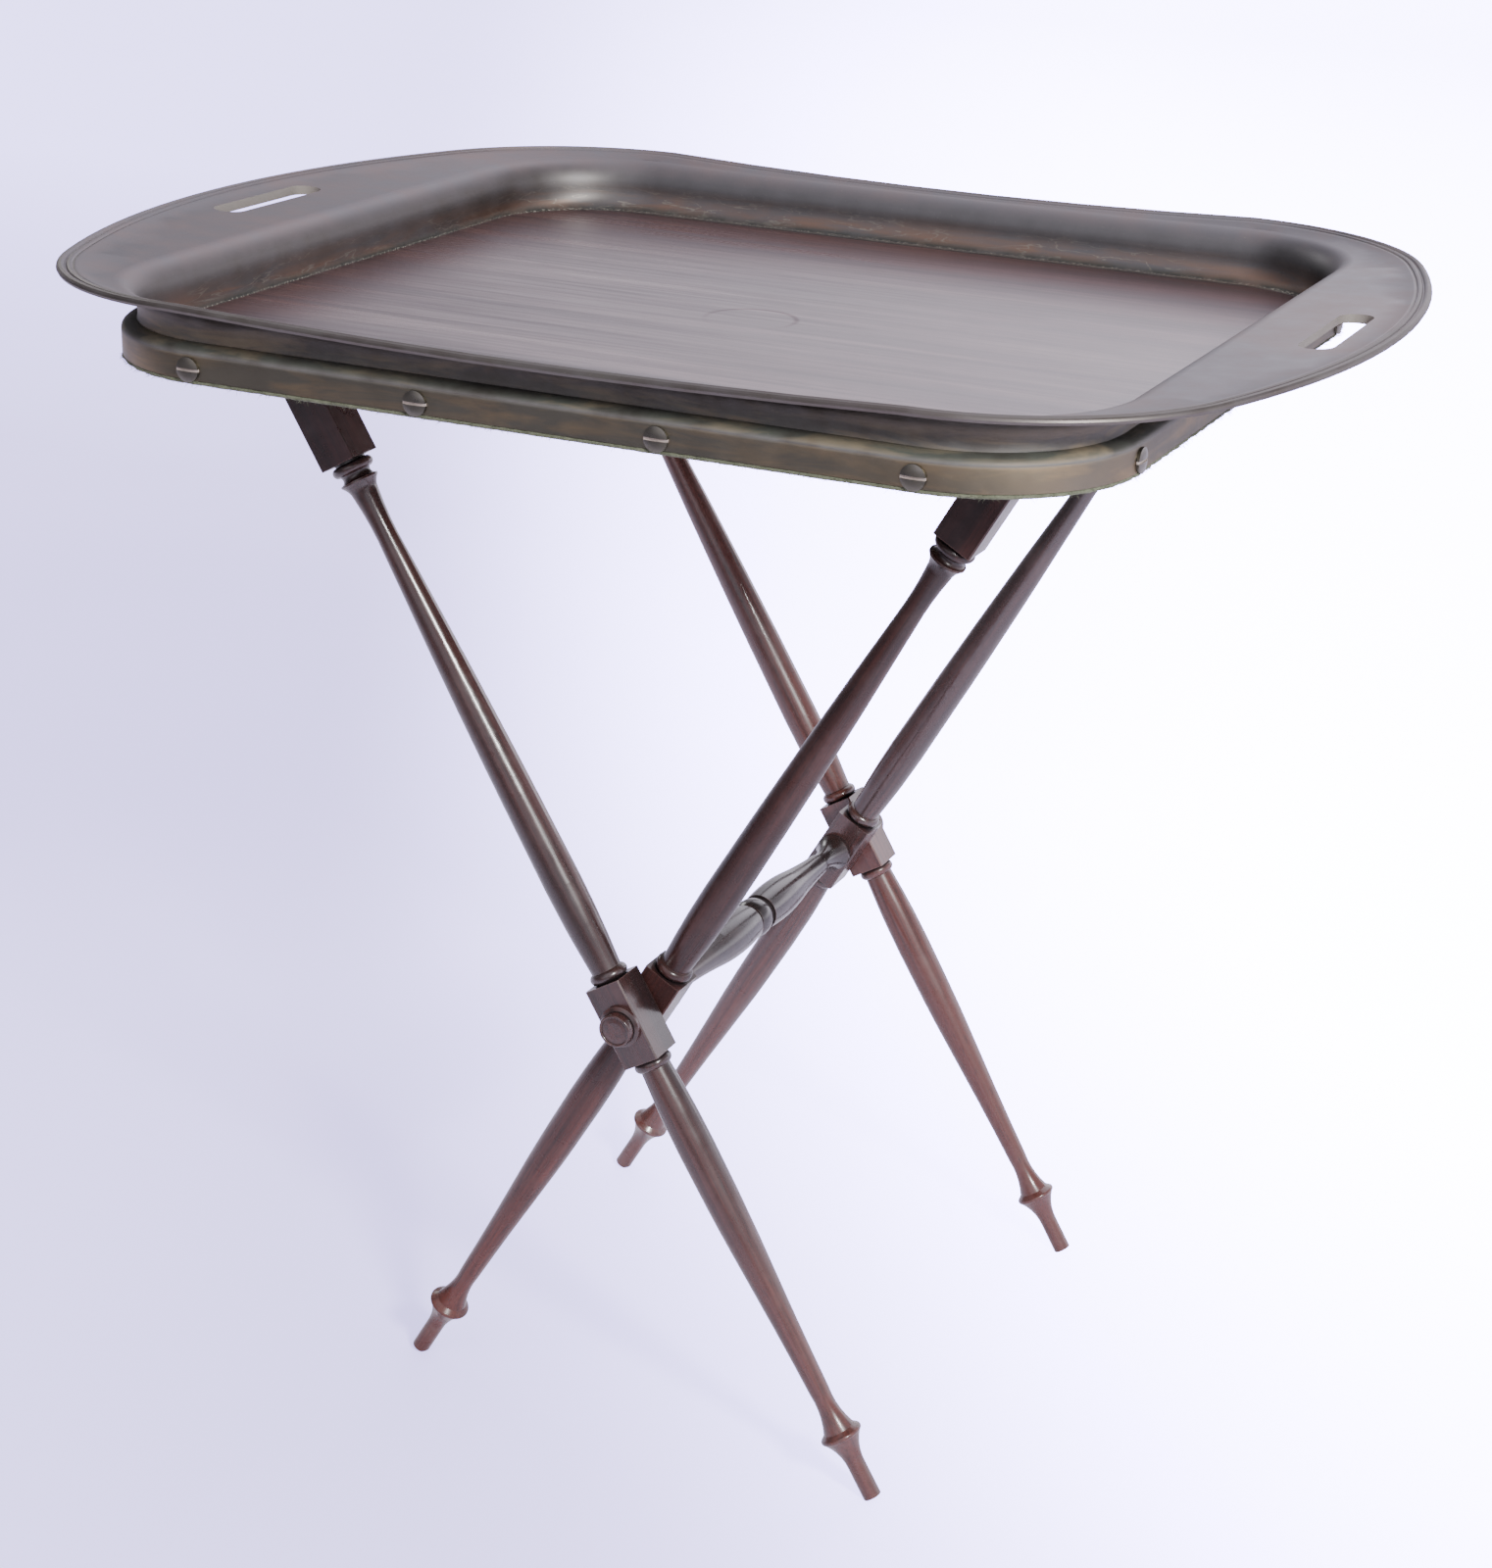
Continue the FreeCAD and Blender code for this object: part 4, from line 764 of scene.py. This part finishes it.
def fibre(build, start, heading, droop, thickness):
    """One loose fibre: a thin three-sided tube that bends down and tapers."""
    side = heading.cross(Vector((0, 0, 1))).normalized()
    lift = side.cross(heading).normalized()
    rows = []
    for along, width in FIBRE_TAPER:
        middle = start + heading * along + Vector((0, 0, -droop * along * along))
        ring = []
        for corner in range(FIBRE_SIDES):
            angle = corner * 2 * math.pi / FIBRE_SIDES
            offset = side * math.cos(angle) + lift * math.sin(angle)
            ring.append(build.verts.new(middle + offset * (thickness / 2 * width)))
        rows.append(ring)
    close_rows(build, rows)


def baize_mesh(settings, low, high):
    """Maker of the baize: a thin sheet whose cut edge wanders and is rounded by wear."""
    half = (high - low) / 2
    thick = high.z - low.z
    draws = random.Random(settings.fray_seed)
    waves = [(draws.randint(*BAIZE_WAVE_COUNTS), draws.uniform(0, 2 * math.pi)) for _ in range(BAIZE_WAVES)]
    outline = rounded_outline(half.x, half.y, settings.baize_corner, BAIZE_STEP)

    def make(build):
        rows = []
        for inset, level in BAIZE_SECTION:
            row = []
            for number, (point, out) in enumerate(outline):
                turn = 2 * math.pi * number / len(outline)
                wander = sum(math.sin(count * turn + phase) for count, phase in waves) / len(waves)
                edge = max(0.0, 1 - inset / BAIZE_EDGE)
                shift = -inset + settings.baize_wander * BAIZE_WAVE_GAIN * wander * edge
                row.append(build.verts.new(point + out * shift + Vector((0, 0, low.z + thick * level))))
            rows.append(row)
        close_rows(build, rows)

    return make


def fray_mesh(settings, low, high):
    """Maker of the loose fibres round the baize's edge."""
    half = (high - low) / 2
    thick = high.z - low.z
    draws = random.Random(settings.fray_seed)
    outline = rounded_outline(half.x, half.y, settings.baize_corner, FRAY_STEP)

    def make(build):
        for _ in range(settings.fray_count):
            point, out = draws.choice(outline)
            onward = Vector((-out.y, out.x, 0))
            level = low.z + thick * draws.uniform(0.05, 0.9)
            reach = settings.fray_length * draws.uniform(0.25, 1.0) ** 2
            heading = out * draws.uniform(0.3, 1.0) + onward * draws.uniform(-1.0, 1.0)
            heading = (heading + Vector((0, 0, draws.uniform(-0.5, 0.25)))).normalized() * reach
            start = point - out * FRAY_ROOT + Vector((0, 0, level))
            fibre(build, start, heading, reach * draws.uniform(0.0, 0.5), settings.fray_thickness)

    return make


def strap_path(settings, rail_x, rail_z, reach):
    """Points along a strap's middle, from under one rail over both to under the other."""
    arc = [settings.strap_wrap * (1 - number / STRAP_TURNS) for number in range(STRAP_TURNS + 1)]
    first = [Vector((rail_x + reach * math.sin(angle), 0, rail_z + reach * math.cos(angle))) for angle in arc]
    between = []
    for number in range(1, STRAP_STEPS):
        share = number / STRAP_STEPS
        sag = settings.strap_sag * math.sin(math.pi * share)
        between.append(Vector((rail_x * (1 - 2 * share), 0, rail_z + reach - sag)))
    last = [Vector((-point.x, 0, point.z)) for point in first[::-1]]
    return first + between + last


def strap_mesh(path, middle, width, thick):
    """Maker of a strap: a band with rounded selvedges along the path."""
    edge = thick / 2
    half = width / 2
    turned = edge * STRAP_SELVEDGE
    face = [(half * share, edge) for share in STRAP_FACE]
    section = face + [(half, turned), (half, -turned)]
    section += [(across, -up) for across, up in face[::-1]] + [(-half, -turned), (-half, turned)]

    def make(build):
        rows = []
        for number, point in enumerate(path):
            before = path[max(number - 1, 0)]
            after = path[min(number + 1, len(path) - 1)]
            up = Vector((0, 1, 0)).cross((after - before).normalized())
            rows.append([
                build.verts.new(point + Vector((0, middle + across, 0)) - up * lift) for across, lift in section
            ])
        close_rows(build, rows)

    return make


def tack_mesh(places, radius):
    """Maker of domed tacks at places with outward directions."""

    def make(build):
        side = Vector((0, 1, 0))
        for place, out in places:
            other = out.cross(side)
            rows = []
            for share, rise in TACK_RINGS:
                row = []
                for corner in range(TACK_CORNERS):
                    angle = corner * 2 * math.pi / TACK_CORNERS
                    flat = side * math.cos(angle) + other * math.sin(angle)
                    row.append(build.verts.new(place + flat * (radius * share) + out * (radius * rise)))
                rows.append(row)
            close_rows(build, rows)

    return make


class TRAYTABLE_OT_stand(bpy.types.Operator):
    """Dress the turned legs, rails, stretcher, pins and washers"""

    bl_idname = "tray_table.stand"
    bl_label = "Finish Stand"

    def execute(self, context):
        settings = context.scene.tray_table.stand
        for name, warmth in LEG_WARMTH.items():
            lean = -settings.lean if name.startswith("inner") else settings.lean
            dress([name], stand_wood(f"{name}_wood", settings, (0, lean, 0), warmth, LEG_POLISH[name]))
        bars = stand_wood("cross_bar_wood", settings, CROSS_GRAIN, CROSS_BAR_WARMTH, CROSS_BAR_POLISH)
        dress(CROSS_BARS, bars)
        dress(PINS, stand_wood("pin_wood", settings, CROSS_GRAIN, PIN_WARMTH))
        dress(WASHERS, washer_metal(settings))
        return {"FINISHED"}


class TRAYTABLE_OT_tray(bpy.types.Operator):
    """Dress the tray's metal edge, wooden floor and screws"""

    bl_idname = "tray_table.tray"
    bl_label = "Finish Tray"

    def execute(self, context):
        settings = context.scene.tray_table.tray
        dress(["tray_gallery"], tray_metal(settings))
        soften("tray_gallery", settings.soften)
        dress(["tray_board"], board_wood(settings))
        dress(SCREWS, screw_metal(settings))
        return {"FINISHED"}


class TRAYTABLE_OT_baize(bpy.types.Operator):
    """Lay the baize under the tray with its frayed edge"""

    bl_idname = "tray_table.baize"
    bl_label = "Lay Baize"

    def execute(self, context):
        settings = context.scene.tray_table.cloth
        low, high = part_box("tray_baize")
        cloth = baize_cloth("baize_cloth", settings)
        baize = new_piece("baize", baize_mesh(settings, low, high), cloth)
        fray = new_piece("baize_fray", fray_mesh(settings, low, high), cloth)
        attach(baize, "tray")
        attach(fray, "tray")
        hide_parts("tray_baize")
        return {"FINISHED"}


class TRAYTABLE_OT_straps(bpy.types.Operator):
    """Hang the straps over the top rails and tack them down"""

    bl_idname = "tray_table.straps"
    bl_label = "Hang Straps"

    def execute(self, context):
        settings = context.scene.tray_table.cloth
        rail_low, rail_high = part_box("inner_top_rail")
        rail = (rail_low + rail_high) / 2
        webbing = strap_webbing(settings)
        tacks = {1: [], -1: []}
        angle = settings.strap_wrap * TACK_TURN
        for node in STRAPS:
            low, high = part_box(node)
            middle = (low.y + high.y) / 2
            width = high.y - low.y
            outer = high.z - rail.z
            thick = outer - (rail_high.z - rail_low.z) / 2
            path = strap_path(settings, rail.x, rail.z, outer - thick / 2)
            name = node.replace("strap", "webbing_strap")
            strap = new_piece(name, strap_mesh(path, middle, width, thick), webbing)
            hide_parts(node)
            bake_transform(strap)
            for side in tacks:
                out = Vector((math.sin(angle) * side, 0, math.cos(angle)))
                for share in TACK_SHARES:
                    place = Vector((rail.x * side, middle + width * share, rail.z)) + out * outer
                    tacks[side].append((place, out))
        iron = tack_metal(settings)
        for side, body in ((1, "inner_frame"), (-1, "outer_frame")):
            piece = new_piece(f"strap_tacks_{body}", tack_mesh(tacks[side], settings.tack_radius), iron)
            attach(piece, body)
        return {"FINISHED"}


class TRAYTABLE_OT_stage(bpy.types.Operator):
    """Set the camera, the light and the pale paper floor"""

    bl_idname = "tray_table.stage"
    bl_label = "Set Stage"

    def execute(self, context):
        settings = context.scene.tray_table.stage
        self.set_camera(context, settings)
        self.lay_floor(settings)
        self.light_room(context, settings)
        self.hang_light(context, "key_light", settings.key_place, settings.key_width, settings.key_power)
        self.hang_light(context, "fill_light", settings.fill_place, settings.fill_width, settings.fill_power)
        return {"FINISHED"}

    def set_camera(self, context, settings):
        heading = Vector(settings.camera_heading).normalized()
        right = heading.cross(Vector((0, 0, 1))).normalized()
        up = right.cross(heading)
        turn = Matrix((right, up, -heading)).transposed()
        turn = turn @ Matrix.Rotation(settings.camera_roll, 3, "Z")
        data = bpy.data.cameras.new("photo_camera")
        data.sensor_width = 36
        data.lens = settings.lens
        data.shift_x = settings.shift_x
        data.shift_y = settings.shift_y
        camera = bpy.data.objects.new("photo_camera", data)
        camera.matrix_world = Matrix.Translation(settings.camera_place) @ turn.to_4x4()
        context.scene.collection.objects.link(camera)
        context.scene.camera = camera

    def lay_floor(self, settings):
        finish = Finish("stage_paper")
        spots = finish.parts(finish.place)
        smudge = finish.noise(finish.place, 3.0, detail=5.0, roughness=0.6)
        soiled = tuple(part * SOILED for part in settings.floor)
        paper = finish.mixed(finish.span(smudge, 0.35, 0.65), settings.floor, soiled)
        # Painted shade: in bounced and reflected light the paper is dim in front, while the camera sees it pale.
        front = finish.fade(spots[1], *FRONT_FLOOR)
        unseen = finish.mixed(front, settings.floor_side, settings.floor_front)
        seen = finish.node("ShaderNodeLightPath").outputs["Is Camera Ray"]
        # The glow is painted light: emission that only the camera sees, a painted pool of lamp light brightest on
        # the right, over a weaker glow that rises towards the back.
        sideways = finish.summed(spots[0], GLOW_ACROSS[0], spots[1], GLOW_ACROSS[1])
        sideways = finish.reckoned("DIVIDE", sideways, finish.span(spots[1], *GLOW_WIDENS))
        backward = finish.summed(spots[0], GLOW_BACKWARD[0], spots[1], GLOW_BACKWARD[1])
        painted_light_pool = finish.times(
            finish.eased(sideways, *GLOW_ACROSS_EDGE), finish.eased(backward, *GLOW_BACKWARD_EDGE)
        )
        far_right = settings.glow_right * GLOW_LEFT_OVER
        painted_light_pool = finish.times(painted_light_pool, finish.span(spots[1], *GLOW_FADES, settings.glow_right, far_right))
        glow = finish.plus(painted_light_pool, finish.span(spots[1], *GLOW_RISES, settings.glow_near, settings.glow_far))
        finish.wear(
            Base_Color=finish.mixed(seen, unseen, paper), Roughness=0.7, Specular_IOR_Level=0.2,
            Emission_Color=(*settings.floor_glow, 1), Emission_Strength=finish.times(glow, seen),
        )
        reach = settings.floor_width / 2

        def make(build):
            corners = [(-reach, -reach), (reach, -reach), (reach, reach), (-reach, reach)]
            build.faces.new([build.verts.new((x, y, 0)) for x, y in corners])

        new_piece("stage_floor", make, finish)

    def light_room(self, context, settings):
        world = bpy.data.worlds.new("studio")
        world.use_nodes = True
        room = Nodes(world.node_tree)
        heading = room.parts(room.node("ShaderNodeTexCoord").outputs["Generated"])
        front = room.span(heading[2], *ROOM_RISE, settings.room_front, settings.room_top)
        graded = room.span(heading[1], *ROOM_DEPTH, front, settings.room_back)
        sides = room.span(heading[0], *ROOM_LEFT_SIDE, settings.room_left, settings.room_right)
        end = room.span(heading[2], *ROOM_RIGHT_RISE, settings.room_low, settings.room_end)
        graded = room.times(room.times(graded, sides), room.span(heading[0], *ROOM_RIGHT_SIDE, 1.0, end))
        seen = room.node("ShaderNodeLightPath").outputs["Is Camera Ray"]
        surface = world.node_tree.nodes["Background"]
        room.give(surface.inputs["Strength"], room.span(seen, 0.0, 1.0, graded, settings.room_seen))
        surface.inputs["Color"].default_value = (*settings.room, 1)
        context.scene.world = world

    def hang_light(self, context, name, place, width, power):
        data = bpy.data.lights.new(name, "AREA")
        data.size = width
        data.energy = power
        light = bpy.data.objects.new(name, data)
        light.location = place
        light.rotation_euler = (LAMP_TARGET - Vector(place)).to_track_quat("-Z", "Y").to_euler()
        context.scene.collection.objects.link(light)


OPERATORS = [
    TRAYTABLE_OT_stand, TRAYTABLE_OT_tray, TRAYTABLE_OT_baize, TRAYTABLE_OT_straps, TRAYTABLE_OT_stage,
]


class TRAYTABLE_PT_panel(bpy.types.Panel):
    """Pieces of the tray table and their settings"""

    bl_idname = "TRAYTABLE_PT_panel"
    bl_label = "Tray Table"
    bl_space_type = "VIEW_3D"
    bl_region_type = "UI"
    bl_category = "Tray Table"

    def draw(self, context):
        for operator in OPERATORS:
            self.layout.operator(operator.bl_idname)
        settings = context.scene.tray_table
        for group in (settings.stand, settings.tray, settings.cloth, settings.stage):
            box = self.layout.box()
            for name in group.__annotations__:
                box.prop(group, name)


CLASSES = [StandFinish, TrayFinish, ClothFinish, StageLook, TrayTableSettings, *OPERATORS, TRAYTABLE_PT_panel]


def register():
    for item in CLASSES:
        bpy.utils.register_class(item)
    bpy.types.Scene.tray_table = bpy.props.PointerProperty(type=TrayTableSettings)


def unregister():
    del bpy.types.Scene.tray_table
    for item in reversed(CLASSES):
        bpy.utils.unregister_class(item)


def main():
    """Builds every piece."""
    register()
    bpy.ops.tray_table.stand()
    bpy.ops.tray_table.tray()
    bpy.ops.tray_table.baize()
    bpy.ops.tray_table.straps()
    bpy.ops.tray_table.stage()


if __name__ == "__main__":
    main()
